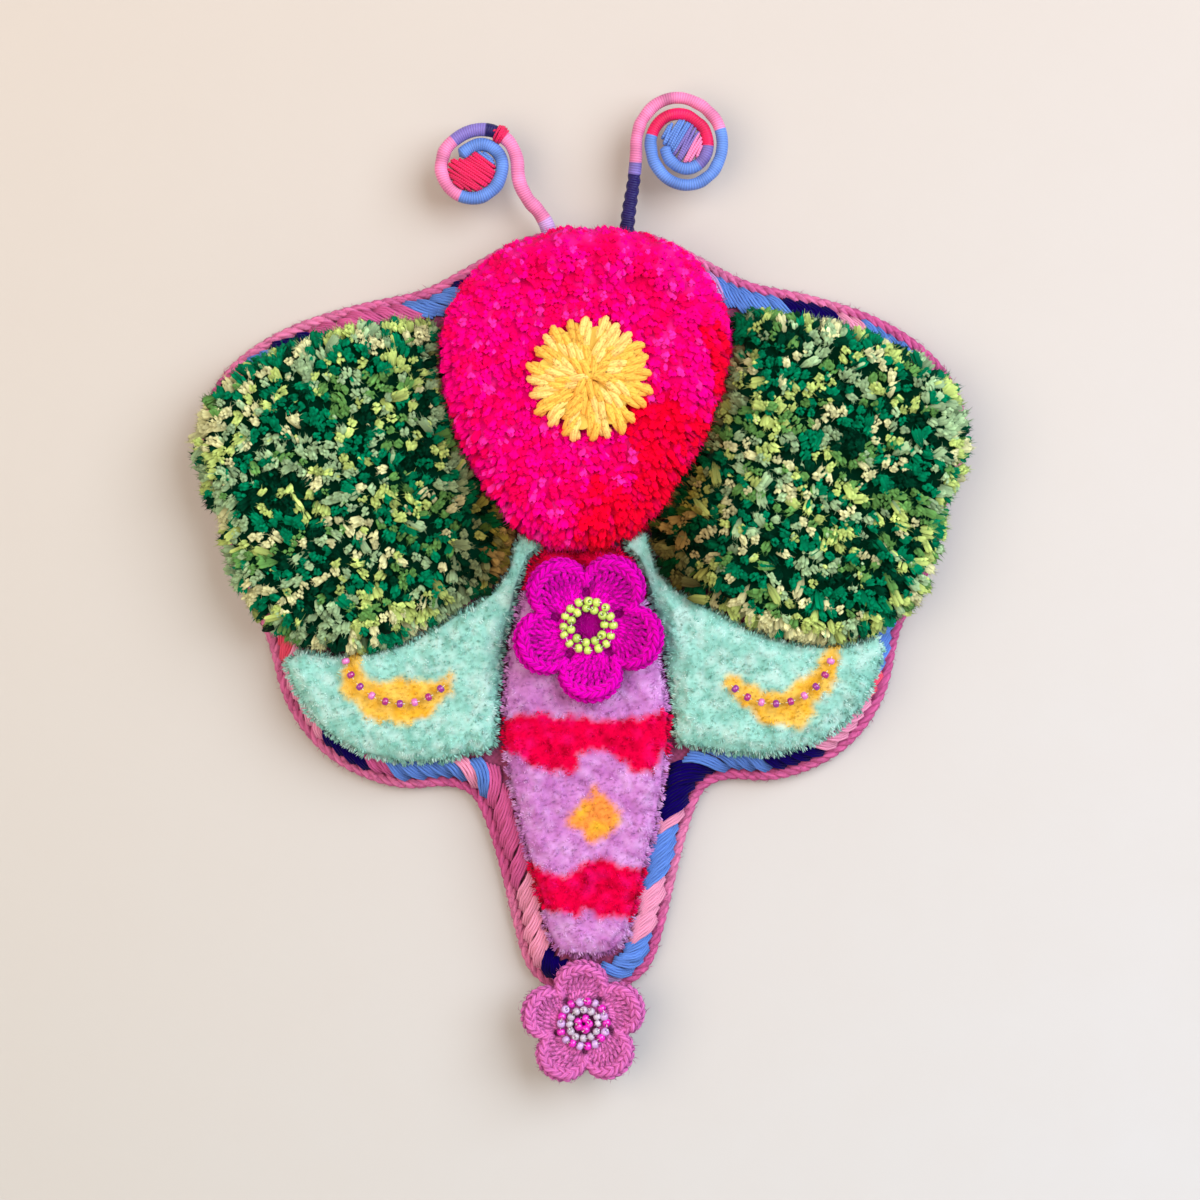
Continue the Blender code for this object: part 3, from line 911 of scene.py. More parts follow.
class Yarn:
    """Paths that yarn follows."""

    @staticmethod
    def frames(lines: Array, closed: bool, up: Array) -> tuple[Array, Array, Array]:
        """Directions along, beside and across each line.

        Args:
            lines: K rows of R places.
            closed: Whether the lines are rings.
            up: A direction that they don't run along.

        Returns:
            The three directions.
        """
        if closed:
            ahead = np.roll(lines, -1, axis=1) - np.roll(lines, 1, axis=1)
        else:
            ahead = np.gradient(lines, axis=1)
        ahead = unit(ahead)
        side = unit(np.cross(np.broadcast_to(up, ahead.shape), ahead))
        return ahead, side, np.cross(ahead, side)

    @staticmethod
    def plied(
        lines: Array, plies: int, offset: float, lay: float, closed: bool = False, up: Array = FORWARD,
        start: float = 0.0, swell: Array | float = 1.0,
    ) -> Array:
        """The paths of the plies that twist round each line.

        Args:
            lines: K rows of R places.
            plies: How many plies.
            offset: How far each ply's middle is from the line.
            lay: The length of one full twist.
            closed: Whether the lines are rings.
            up: A direction that they don't run along.
            start: Angle of the first ply.
            swell: A factor on the offset along each line.

        Returns:
            K times plies rows of R places, the plies of a line together.
        """
        _, side, across = Yarn.frames(lines, closed, up)
        steps = np.linalg.norm(np.diff(lines, axis=1, append=lines[:, :1]), axis=2)
        walked = np.cumsum(steps, axis=1) - steps
        whole = steps.sum(axis=1) if closed else steps[:, :-1].sum(axis=1)
        turns = np.maximum(np.round(whole / lay), 1) if closed else whole / lay
        angle = (walked / whole[:, None]) * turns[:, None] * 2 * math.pi
        phase = start + np.arange(plies) * 2 * math.pi / plies
        angle = angle[:, None] + phase[None, :, None]
        moved = np.reshape(offset * swell, (-1, 1)) * (
            np.cos(angle)[..., None] * side[:, None] + np.sin(angle)[..., None] * across[:, None]
        )
        return (lines[:, None] + moved).reshape(-1, *lines.shape[1:])

    @staticmethod
    def even(line: Array, step: float, closed: bool = False) -> Array:
        """The same line with its places evenly spaced.

        Args:
            line: R places.
            step: About how far apart they should be.
            closed: Whether the line is a ring.

        Returns:
            The new places.
        """
        ring = np.concatenate([line, line[:1]]) if closed else line
        gaps = np.linalg.norm(np.diff(ring, axis=0), axis=1)
        walked = np.concatenate([[0], np.cumsum(gaps)])
        count = max(round(walked[-1] / step), 3)
        at = np.linspace(0, walked[-1], count + 1)[: count if closed else count + 1]
        return np.stack([np.interp(at, walked, ring[:, i]) for i in range(line.shape[1])], axis=1)

    @staticmethod
    def smoothed(line: Array, rounds: int, closed: bool = False) -> Array:
        """The same line with its corners softened.

        Args:
            line: R places.
            rounds: How many times each place is averaged with its neighbours.
            closed: Whether the line is a ring.

        Returns:
            The new places.
        """
        for _ in range(rounds):
            mean = (np.roll(line, 1, axis=0) + 2 * line + np.roll(line, -1, axis=0)) / 4
            if not closed:
                mean[0], mean[-1] = line[0], line[-1]
            line = mean
        return line


class Skin:
    """The surface of a solid, as a place to sew on."""

    def __init__(self, node: str) -> None:
        """Reads the solid's triangles, with its loose corners joined.

        Args:
            node: The solid's node.
        """
        sheet = bmesh.new()
        sheet.from_mesh(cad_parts[node].data)
        bmesh.ops.remove_doubles(sheet, verts=sheet.verts, dist=1e-6)
        bmesh.ops.triangulate(sheet, faces=sheet.faces)
        sheet.normal_update()
        self.points = np.array([v.co for v in sheet.verts])
        self.normals = np.array([v.normal for v in sheet.verts])
        self.faces = np.array([[v.index for v in f.verts] for f in sheet.faces])
        self.tree = BVHTree.FromBMesh(sheet)
        sheet.free()

    def scattered(
        self, spacing: float, seed: int, wanted: Callable[[Array, Array], Array],
    ) -> tuple[Array, Array]:
        """Places spread over the skin, none closer together than the spacing.

        Args:
            spacing: The least distance between places.
            seed: Seed of the draw.
            wanted: Says which places to try, from their points and normals.

        Returns:
            The places, and the skin's directions there.
        """
        chance = np.random.default_rng(seed)
        corner = self.points[self.faces]
        sides = corner[:, 1:] - corner[:, :1]
        areas = np.linalg.norm(np.cross(sides[:, 0], sides[:, 1]), axis=1) / 2
        tries = int(areas.sum() / spacing**2 * TRIES)
        face = chance.choice(len(areas), tries, p=areas / areas.sum())
        share = chance.random((tries, 2))
        share = np.where(share.sum(axis=1, keepdims=True) > 1, 1 - share, share)
        weights = np.concatenate([1 - share.sum(axis=1, keepdims=True), share], axis=1)[..., None]
        points = (corner[face] * weights).sum(axis=1)
        normals = unit((self.normals[self.faces[face]] * weights).sum(axis=1))
        keep = np.flatnonzero(wanted(points, normals))
        keep = keep[self.spaced(points[keep], spacing)]
        return points[keep], normals[keep]

    @staticmethod
    def spaced(points: Array, spacing: float) -> list[int]:
        """The first of the places that keep their distance from each other.

        Args:
            points: The places.
            spacing: The least distance between them.

        Returns:
            Their numbers.
        """
        taken: dict[tuple, list[int]] = {}
        chosen = []
        cells = np.floor(points / spacing).astype(int)
        near = [(a, b, c) for a in (-1, 0, 1) for b in (-1, 0, 1) for c in (-1, 0, 1)]
        for i, (a, b, c) in enumerate(cells.tolist()):
            others = [j for da, db, dc in near for j in taken.get((a + da, b + db, c + dc), ())]
            if all(((points[i] - points[j]) ** 2).sum() >= spacing**2 for j in others):
                taken.setdefault((a, b, c), []).append(i)
                chosen.append(i)
        return chosen

    def front(self, x: Array, z: Array, missed: float = 0.0) -> Array:
        """Places on the skin as seen from the front.

        Args:
            x: Places along X.
            z: Places along Z.
            missed: The depth to give where the skin isn't met.

        Returns:
            The places.
        """
        found = []
        for a, c in zip(np.ravel(x).tolist(), np.ravel(z).tolist()):
            hit = self.tree.ray_cast(Vector((a, -1.0, c)), Vector((0, 1, 0)))[0]
            found.append((a, hit.y if hit else -missed, c))
        return np.array(found).reshape(*np.shape(x), 3)

    def ring(self, depth: float) -> Array:
        """The skin's outline at one depth from the wall.

        Args:
            depth: The depth.

        Returns:
            The outline's places, clockwise as seen from the front.
        """
        sheet = bmesh.new()
        verts = [sheet.verts.new(p) for p in self.points]
        for face in self.faces:
            sheet.faces.new([verts[i] for i in face])
        everything = [*sheet.verts, *sheet.edges, *sheet.faces]
        plane = {"plane_co": (0, -depth, 0), "plane_no": (0, 1, 0)}
        cut = bmesh.ops.bisect_plane(sheet, geom=everything, **plane)
        sheet.verts.index_update()
        links: dict[int, list[int]] = {}
        for edge in cut["geom_cut"]:
            if isinstance(edge, bmesh.types.BMEdge):
                for here, there in (edge.verts, reversed(edge.verts)):
                    links.setdefault(here.index, []).append(there.index)
        places = {vert.index: tuple(vert.co) for vert in sheet.verts}
        sheet.free()
        start = next(iter(links))
        order = [start, links[start][0]]
        while order[-1] != start:
            here = order[-1]
            order.append(next(i for i in links[here] if i != order[-2]))
        found = np.array([places[i] for i in order[:-1]])
        after = np.roll(found, -1, axis=0)
        turned = (found[:, 0] * after[:, 2] - after[:, 0] * found[:, 2]).sum()
        return found[::-1] if turned > 0 else found


# ---- pile

Pattern = Callable[[Array, Chance], Array]

# The third of the pinks is paler: painted highlight on the head's plies.
PINK, HOT, PLY_HIGHLIGHT_PINK = dye(244, 0, 128), dye(240, 0, 90), dye(250, 40, 156)
RED, CRIMSON, RASPBERRY, WINE = dye(240, 0, 46), dye(216, 0, 62), dye(222, 10, 96), dye(160, 0, 34)
# FOREST, a near-black green, is partly dark yarn and partly painted shade deep in the forewings' pile.
EMERALD, FOREST, LIME = dye(0, 116, 78), dye(0, 50, 32), dye(180, 202, 114)
SAGE, CREAM, LEAF = dye(148, 178, 134), dye(204, 206, 154), dye(92, 142, 74)
MINT, PALE_MINT, DEEP_MINT = dye(146, 204, 192), dye(178, 216, 208), dye(118, 180, 166)
GOLD, DEEP_GOLD, ORANGE = dye(236, 194, 88), dye(228, 174, 50), dye(232, 144, 66)
LAVENDER, PALE_LAVENDER, MAUVE = dye(194, 126, 196), dye(206, 152, 212), dye(176, 104, 176)
MAGENTA, DEEP_MAGENTA = dye(206, 0, 168), dye(120, 0, 84)
ROSE, DUSTY, PALE_PINK = dye(200, 102, 172), dye(188, 84, 138), dye(214, 138, 170)
SKY, NAVY, CORAL = dye(84, 122, 196), dye(12, 0, 78), dye(216, 74, 102)
BLOSSOM, CERISE, IRIS, LILAC = dye(212, 116, 164), dye(208, 6, 80), dye(112, 98, 172), dye(178, 140, 196)
YELLOW, BUTTER = dye(236, 180, 78), dye(244, 198, 114)
PLUM = dye(130, 20, 124)
WHITE, PEARL, APPLE = dye(236, 234, 230), dye(204, 190, 214), dye(176, 204, 84)


def picked(dyes: Sequence[Array], weights: Sequence[float], count: int, chance: Chance) -> Array:
    """So many dyes drawn at random, each as often as its weight says."""
    share = np.array(weights) / sum(weights)
    return np.array(dyes)[chance.choice(len(dyes), count, p=share)]


def flat(points: Array) -> tuple[Array, Array]:
    """Places across and up, in millimetres."""
    return points[:, 0] / MM, points[:, 2] / MM


def head_pattern(points: Array, chance: Chance) -> Array:
    """Hot pink, with red on the lower right, and a few paler tufts and strands that are painted
    highlights on the plies.

    Args:
        points: Where the tufts are.
        chance: The random numbers.

    Returns:
        A dye for each.
    """
    x, z = flat(points)
    drift = Drift(0.03, 3).at(points)[:, 0] * 7
    red = (0.9 * x - 0.62 * z + drift) > 58
    pink = picked((PINK, HOT, PLY_HIGHLIGHT_PINK), (6, 4, 1.1), len(points), chance)
    scarlet = picked((RED, CRIMSON, HOT), (6, 2, 0.8), len(points), chance)
    return np.where(red[:, None], scarlet, pink)


def forewing_pattern(points: Array, chance: Chance) -> Array:
    """Short runs of mixed greens along wandering rows, with painted shade towards the body, under the
    head.

    Args:
        points: Where the tufts are.
        chance: The random numbers.

    Returns:
        A dye for each.
    """
    warp = Drift(0.06, 11, 2).at(points) * 0.004
    side = np.sign(points[:, 0])
    row = points[:, 2] * 0.86 + side * points[:, 0] * 0.36 + warp[:, 0]
    run = side * points[:, 0] * 0.86 - points[:, 2] * 0.36 + warp[:, 1]
    rows = np.floor(row / 0.0036).astype(int)  # a row is 3.6 mm high
    runs = np.floor(run / 0.0068 + np.sin(rows * 91.7) * 4).astype(int)  # a run is 6.8 mm long
    dyes = np.array((EMERALD, LIME, SAGE, FOREST, CREAM, LEAF))
    ends = np.cumsum((0.29, 0.18, 0.24, 0.08, 0.12, 0.09))
    hashed = np.sin(rows * 12.9898 + runs * 78.233 + side * 3.1) * 43758.5453
    drawn = np.modf(np.abs(hashed))[0]  # the same number all along a run
    stray = chance.random(len(points)) < 0.16
    drawn = np.where(stray, chance.random(len(points)), drawn)
    found = dyes[np.minimum(np.searchsorted(ends, drawn), len(dyes) - 1)]
    # Painted shadow of the head: tufts towards the body are darkened.
    inner = eased((0.062 - side * points[:, 0] + 0.12 * (points[:, 2] + 0.08)) / 0.03)
    return found * (1 - inner[:, None] * [0.74, 0.86, 0.93])


def crescent(points: Array, side: float) -> Array:
    """Whether places lie in a hindwing's crescent, inside one circle and outside another."""
    x, z = flat(points)
    return (np.hypot(x * side - 64, z + 143) < 19.5) & (np.hypot(x * side - 60, z + 130) > 20)


def hindwing_pattern(points: Array, chance: Chance) -> Array:
    """Mint, with a golden crescent.

    Args:
        points: Where the tufts are.
        chance: The random numbers.

    Returns:
        A dye for each.
    """
    moved = points + Drift(0.012, 5, 3).at(points) * 0.0012
    gold = crescent(moved, 1.0) | crescent(moved, -1.0)
    mint = picked((MINT, PALE_MINT, DEEP_MINT), (5, 3, 2), len(points), chance)
    golden = picked((GOLD, DEEP_GOLD), (3, 2), len(points), chance)
    return np.where(gold[:, None], golden, mint)


def abdomen_pattern(points: Array, chance: Chance) -> Array:
    """Lavender, with scalloped red bands, an orange lozenge and dark red at the top.

    Args:
        points: Where the tufts are.
        chance: The random numbers.

    Returns:
        A dye for each.
    """
    x, z = flat(points + Drift(0.02, 8, 3).at(points) * 0.0015)
    scallop = 4.0 * np.abs(np.sin(x / 9.0))
    red = ((z > -173 - scallop) & (z < -160)) | ((z > -222 - scallop) & (z < -211))
    lozenge = np.abs(x - 1) / 11 + np.abs(z + 194) / 13 < 1
    found = picked((LAVENDER, PALE_LAVENDER, MAUVE), (5, 3, 2), len(points), chance)
    for place, dyes, weights in (
        (red, (CRIMSON, RASPBERRY, WINE), (6, 2, 0.6)), (lozenge, (ORANGE, DEEP_GOLD), (4, 1)),
        (z > -118, (CRIMSON, WINE), (2, 1)),
    ):
        found = np.where(place[:, None], picked(dyes, weights, len(points), chance), found)
    return found


@dataclass(frozen=True)
class Cut:
    """How a panel's pile is cut.

    Attributes:
        spacing: Least distance between tufts.
        strands: Strands in a tuft.
        thick: A strand's radius.
        long: From a tuft's root to its tip.
        spread: How far a tuft's strands part at their tips.
        lean: How far tufts lean outwards.
        sway: How far they lean at random.
        wave: The distance over which that lean changes.
        droop: How far tips hang down.
        sides: Sides of a strand's section.
        fuzz: Loose fibres in a tuft.
        shade: How much strands differ in shade.
        ground: Painted shade: how dark the ground between the tufts is made.
        overhang: How far tufts at the panel's sides stand out over its rim.
        stray: Share of the strands that have a dye of their own.
        wisp: Length of the loose fibres.
        sunk: How far below the tips the ground lies.
        crease: How far the tips sink along wandering creases, where the tufts are also darkened as
            painted shade.
        dome: How far the ground sinks between the tufts.
        cuts: How finely the ground is divided.
        soft: How much the strands' shading follows the panel.
        fine: Greatest radius of the loose fibres.
        bed: One dye for all the ground, if it has one; the forewings' dark green one is painted shade.
    """

    spacing: float = 2.4 * MM
    strands: int = 5
    thick: float = 0.92 * MM
    long: float = 7.0 * MM
    spread: float = 1.05 * MM
    lean: float = 0.05
    sway: float = 0.16
    wave: float = 0.012
    droop: float = 3.0 * MM
    sides: int = 4
    fuzz: int = 9
    shade: float = 0.10
    ground: float = 0.72
    overhang: float = 1.8 * MM
    stray: float = 0.12
    wisp: float = 1.6 * MM
    sunk: float = 1.5 * MM
    crease: float = 0.0
    dome: float = 0.8 * MM
    cuts: int = 2
    soft: float = 1.5
    fine: float = 0.14 * MM
    bed: tuple | None = None


COARSE = Cut()
# The forewings' ground is a dark green: painted shade deep between the tufts.
SHAGGY = Cut(
    spacing=2.6 * MM, strands=7, thick=0.66 * MM, long=7.6 * MM, spread=1.25 * MM, lean=0.14, sway=0.34,
    wave=0.007, droop=0.4 * MM, fuzz=10, shade=0.22, ground=1.0, overhang=2.0 * MM, sunk=2.6 * MM,
    cuts=1, soft=1.4, fine=0.17 * MM, bed=tuple(FOREST * 0.55),
)
FINE = Cut(
    spacing=1.7 * MM, strands=10, thick=0.22 * MM, long=2.6 * MM, spread=0.95 * MM, lean=0.06, sway=0.22,
    wave=0.006, droop=0.0, sides=3, fuzz=0, shade=0.14, ground=0.92, overhang=1.4 * MM, stray=0.2,
    sunk=0.6 * MM, crease=0.5 * MM, dome=0.5 * MM, cuts=4, soft=2.4,
)
SHORN = replace(
    FINE, spacing=1.8 * MM, thick=0.23 * MM, spread=1.0 * MM, lean=0.0, sway=0.26, wave=0.005,
    overhang=1.6 * MM, crease=0.8 * MM,
)


@dataclass
class PilePanel:
    """A panel of cut pile, tuft by tuft, on a ground darkened as painted shade.

    Attributes:
        node: The solid it stands for.
        cut: How the pile is cut.
        pattern: The dyes by place.
        slot: The record's material slot.
        seed: Seed of the draw.
        seat: Depth of the cloth that it is sewn into.
        bare: Whether a place stays without tufts.
        heap: What is built so far.
    """

    node: str
    cut: Cut
    pattern: Pattern
    slot: str
    seed: int
    seat: float = 11.3 * MM
    bare: Callable[[Array], Array] | None = None
    heap: Heap = field(default_factory=Heap)

    def tufted(self, points: Array, normals: Array) -> Array:
        """Whether tufts stand at places on the skin: above the cloth, and not on the back."""
        keep = (-points[:, 1] > self.seat + 0.8 * MM) & (normals[:, 1] < 0.5)
        return keep & ~self.bare(points) if self.bare else keep

    def tufts(self) -> tuple[Array, Array, Array, Array]:
        """Where tufts stand, which way they point, the skin's directions and the dyes.

        Returns:
            Tips, directions, the skin's directions and dyes.
        """
        cut, skin = self.cut, Skin(self.node)
        tips, plain = skin.scattered(cut.spacing, self.seed, self.tufted)
        chance = np.random.default_rng(self.seed + 1)
        out = unit((tips - skin.points.mean(axis=0)) * [1, 0, 1])
        tips = tips + cut.overhang * (plain * [1, 0, 1]) * eased(1.1 - np.abs(plain[:, 1:2]))
        tips = tips - plain * cut.crease * self.creased(tips)
        sway = Drift(cut.wave, self.seed + 2, 3).at(tips)
        ways = unit(plain + cut.lean * out + cut.sway * sway + chance.normal(0, 0.12, tips.shape))
        return tips, ways, plain, self.pattern(tips, chance)

    def creased(self, points: Array) -> Array:
        """How far places lie in the creases that wander over the pile, from 0 to 1."""
        slow = 0.6 + 0.4 * Drift(0.02, self.seed + 6).at(points)
        return np.exp(-((Drift(0.0045, self.seed + 4).at(points) * slow / 0.10) ** 2))

    def grow(self, tips: Array, ways: Array, plain: Array, dyes: Array) -> None:
        """Adds the tufts' strands.

        Args:
            tips: The tufts' tips.
            ways: Their directions.
            plain: The skin's directions.
            dyes: Their dyes.
        """
        cut = self.cut
        chance = np.random.default_rng(self.seed + 5)
        many = len(tips)
        spare = unit(np.cross(ways, [[0.3, 0.2, 1.0]]))
        other = np.cross(ways, spare)
        turn = np.arange(cut.strands) * 2 * math.pi / cut.strands + chance.uniform(0, 7, (many, 1))
        reach = cut.spread * chance.uniform(0.55, 1.1, turn.shape)
        reach[:, 0] *= 0.2  # a tuft's first strand stays in its middle
        spoke = np.cos(turn)[..., None] * spare[:, None] + np.sin(turn)[..., None] * other[:, None]
        across = reach[..., None] * spoke
        up = ways[:, None] * cut.long * chance.uniform(0.94, 1.06, (many, cut.strands, 1))
        tip = tips[:, None] + across - ways[:, None] * reach[..., None] ** 2 / cut.spread * 0.35
        tip = tip + chance.normal(0, 0.28 * MM, tip.shape) - [0, 0, cut.droop]
        root = tips[:, None] - up + across * 0.3
        root[..., 1] = np.minimum(root[..., 1], -self.seat)
        middle = (root + tip) / 2 + across * 0.42 + chance.normal(0, 0.2 * MM, tip.shape)
        middle = middle + [0, 0, cut.droop * 0.6]
        tuft_shade = 1 + chance.normal(0, cut.shade * 0.6, (many, 1, 1))
        # Painted shade: tufts in the creases are darkened.
        if cut.crease:
            tuft_shade = tuft_shade * (1 - 0.2 * self.creased(tips)[:, None])
        shade = tuft_shade * (1 + chance.normal(0, cut.shade * 0.6, (many, cut.strands, 1)))
        own = np.repeat(dyes[:, None], cut.strands, axis=1)
        stray = chance.random((many, cut.strands)) < cut.stray
        own[stray] = self.pattern(tips[np.nonzero(stray)[0]], chance)
        tints = (own * shade).reshape(-1, 3)
        thick = cut.thick * chance.uniform(0.85, 1.2, many * cut.strands)
        levels = ((0.4, 0.9), (0.9, 0.86)) if cut.sides > 3 else ((0.72, 1.0),)
        strand = Bench.strand(cut.sides, levels)
        root, middle, tip, across = (places.reshape(-1, 3) for places in (root, middle, tip, across))
        lit = 0.7 * np.repeat(plain, cut.strands, axis=0) + across / cut.spread * 0.5
        lit = unit(lit + 0.5 * FORWARD) * cut.soft
        self.heap.bent(strand, root, middle, tip, thick, tints, lit)
        if cut.fuzz:
            pick = chance.integers(0, len(tints), many * cut.fuzz)
            way = np.repeat(ways, cut.strands, axis=0)[pick]
            self.loose(tip[pick], way, tints[pick], lit[pick], chance)

    def loose(self, ends: Array, ways: Array, tints: Array, lit: Array, chance: Chance) -> None:
        """Adds loose fibres at strands' ends.

        Args:
            ends: The ends.
            ways: The tufts' directions.
            tints: The strands' dyes.
            lit: Directions that soften the shading.
            chance: The random numbers.
        """
        cut, column = self.cut, (len(ends), 1)
        bend = unit(ways + chance.normal(0, 0.8, ways.shape))
        start = ends - ways * cut.long * 0.12
        far = ends + bend * chance.uniform(0.5, 1.5, column) * cut.wisp
        tints = np.minimum(tints * chance.uniform(0.8, 1.3, column), 1.0)
        fine = chance.uniform(0.5, 1.0, len(ends)) * cut.fine
        self.heap.bent(Bench.fibre(), start, ends + ways * cut.thick * 0.4, far, fine, tints, lit)

    def bed(self, feet: Array, dyes: Array) -> None:
        """Adds the ground, domed under each tuft and dyed like it, darkened as painted shade, the more
        so between the tufts.

        Args:
            feet: Where the tufts stand.
            dyes: Their dyes.
        """
        cut = self.cut
        ground = Bench.ground(self.node, cut.sunk, cut.cuts)
        tree = KDTree(len(feet))
        for i, foot in enumerate(feet):
            tree.insert(foot, i)
        tree.balance()
        found = [tree.find_n(place, 3) for place in ground.points]
        near = dyes[np.array([[i for _, i, _ in three] for three in found])]
        gap = np.minimum(np.array([three[0][2] for three in found]) / cut.spacing, 1.2) ** 2
        own = near[:, 0] * 0.5 + near[:, 1] * 0.3 + near[:, 2] * 0.2
        if cut.bed:
            own = np.tile(cut.bed, (len(own), 1))
        sunk = gap * cut.dome + cut.crease * self.creased(ground.points)[:, 0]
        high = ground.points[:, 1] < -self.seat - 1.5 * MM
        ground.points[:, 1] += np.where(high, sunk, 0)
        # Painted shade: the ground is darkened, the more so the farther it lies from a tuft.
        tints = own * (cut.ground * (1 - 0.3 * gap))[:, None]
        self.heap.copies(ground, ground.points[None], tints[None], np.ones(len(tints)))

    def made(self, finish: Material) -> None:
        """Builds the panel.

        Args:
            finish: The yarn's material.
        """
        tips, ways, plain, dyes = self.tufts()
        self.grow(tips, ways, plain, dyes)
        self.bed(tips - plain * self.cut.sunk, dyes)
        self.heap.made(self.node.replace("pile", "tufts"), finish, self.slot, (self.node,))


# ---- loops, rope and stitches


@dataclass
class LoopRosette:
    """A rosette of thick loops, ring inside ring.

    Attributes:
        centre: Its middle, across and up.
        node: The solid it stands for.
        rings: For each ring of loops: how many, and where they start and end.
        petals: Petals of the outer ring.
        turn: Angle of the first petal.
        back: Depth of the loops' feet.
        rise: How far the loops' middles stand above their feet.
        ply: A ply's radius.
        plies: Plies of the yarn.
        lay: Length of a full twist.
        steps: Places along a loop.
        trimmed: Places at each end of a loop that bear no loose fibres.
    """

    centre: tuple
    node: str = "loop_rosette"
    rings: tuple = (
        (24, 10.2 * MM, 19.6 * MM), (15, 4.8 * MM, 13.6 * MM), (7, 0.6 * MM, 7.8 * MM)
    )
    petals: int = 8
    turn: float = math.radians(-12)
    back: float = 28.6 * MM
    rise: float = 2.6 * MM
    ply: float = 1.3 * MM
    plies: int = 3
    lay: float = 26 * MM
    steps: int = 13
    trimmed: int = 2

    def loop(self, level: int, angle: float, chance: Chance) -> Array:
        """One loop's middle line.

        Args:
            level: The ring it is in, from the outside.
            angle: Its direction from the middle.
            chance: The random numbers.

        Returns:
            Its places.
        """
        _, inner, outer = self.rings[level]
        t = np.linspace(0, 1, self.steps)
        waves = abs(math.cos(self.petals * (angle - self.turn) / 2)) ** 0.5
        far = outer * (0.86 + 0.15 * waves) if level == 0 else outer * chance.uniform(0.92, 1.06)
        along = inner + (far - inner) * (t - 0.10 * np.sin(2 * math.pi * t))
        aside = chance.normal(0, 0.8 * MM) * np.sin(math.pi * t)
        aside = aside + chance.normal(0, 1.2 * MM) * (t - 0.5)
        lift = self.rise * np.sin(math.pi * t) ** 0.55 * chance.uniform(0.9, 1.08)
        depth = self.back + lift + (level * 0.6 - 0.8) * MM
        x = self.centre[0] + along * math.cos(angle) - aside * math.sin(angle)
        z = self.centre[1] + along * math.sin(angle) + aside * math.cos(angle)
        return np.stack([x, -depth, z], axis=1)

    def paths(self, chance: Chance) -> tuple[Array, Array]:
        """The loops' middle lines, and a direction across each.

        Args:
            chance: The random numbers.

        Returns:
            The lines and the directions.
        """
        found, beside = [], []
        for level, (count, _, _) in enumerate(self.rings):
            for i in range(count):
                place = i + 0.5 * (level % 2) + chance.normal(0, 0.08)
                angle = self.turn + 2 * math.pi * place / count
                found.append(self.loop(level, angle, chance))
                beside.append((-math.sin(angle), 0.0, math.cos(angle)))
        return np.array(found), np.array(beside)[:, None]

    def made(self, finish: Material) -> None:
        """Builds the rosette.

        Args:
            finish: The yarn's material.
        """
        heap, chance = Heap(), np.random.default_rng(31)
        lines, beside = self.paths(chance)
        swell = np.sin(np.linspace(0.2, 0.8, self.steps) * math.pi) ** 0.7
        plies = Yarn.plied(lines, self.plies, self.ply, self.lay, up=beside, swell=swell, start=0.6)
        base = picked((YELLOW, BUTTER), (2, 1), len(lines), chance)
        base = base * (1 + chance.normal(0, 0.05, (len(lines), 1)))
        tints = np.repeat(base, self.plies, axis=0)
        beside = np.repeat(beside, self.plies, axis=0)
        heap.swept(plies, self.ply * (0.7 + 0.3 * swell), tints, up=beside)
        hairy = plies[:, self.trimmed:-self.trimmed]
        fibres = np.repeat(hairy.reshape(-1, 3), 2, axis=0) + FORWARD * self.ply * 0.8
        ways = np.tile(FORWARD, (len(fibres), 1))
        heap.fuzzed(fibres, ways, np.repeat(tints, 2 * hairy.shape[1], axis=0) * 1.05, 1.6 * MM, chance)
        # Painted shade: the ground under the loops is a darker gold.
        heap.grounded(self.node, 2.8 * MM, GOLD * 0.9, 0.6)
        heap.made("rosette", finish, "yellow_loops", (self.node,))


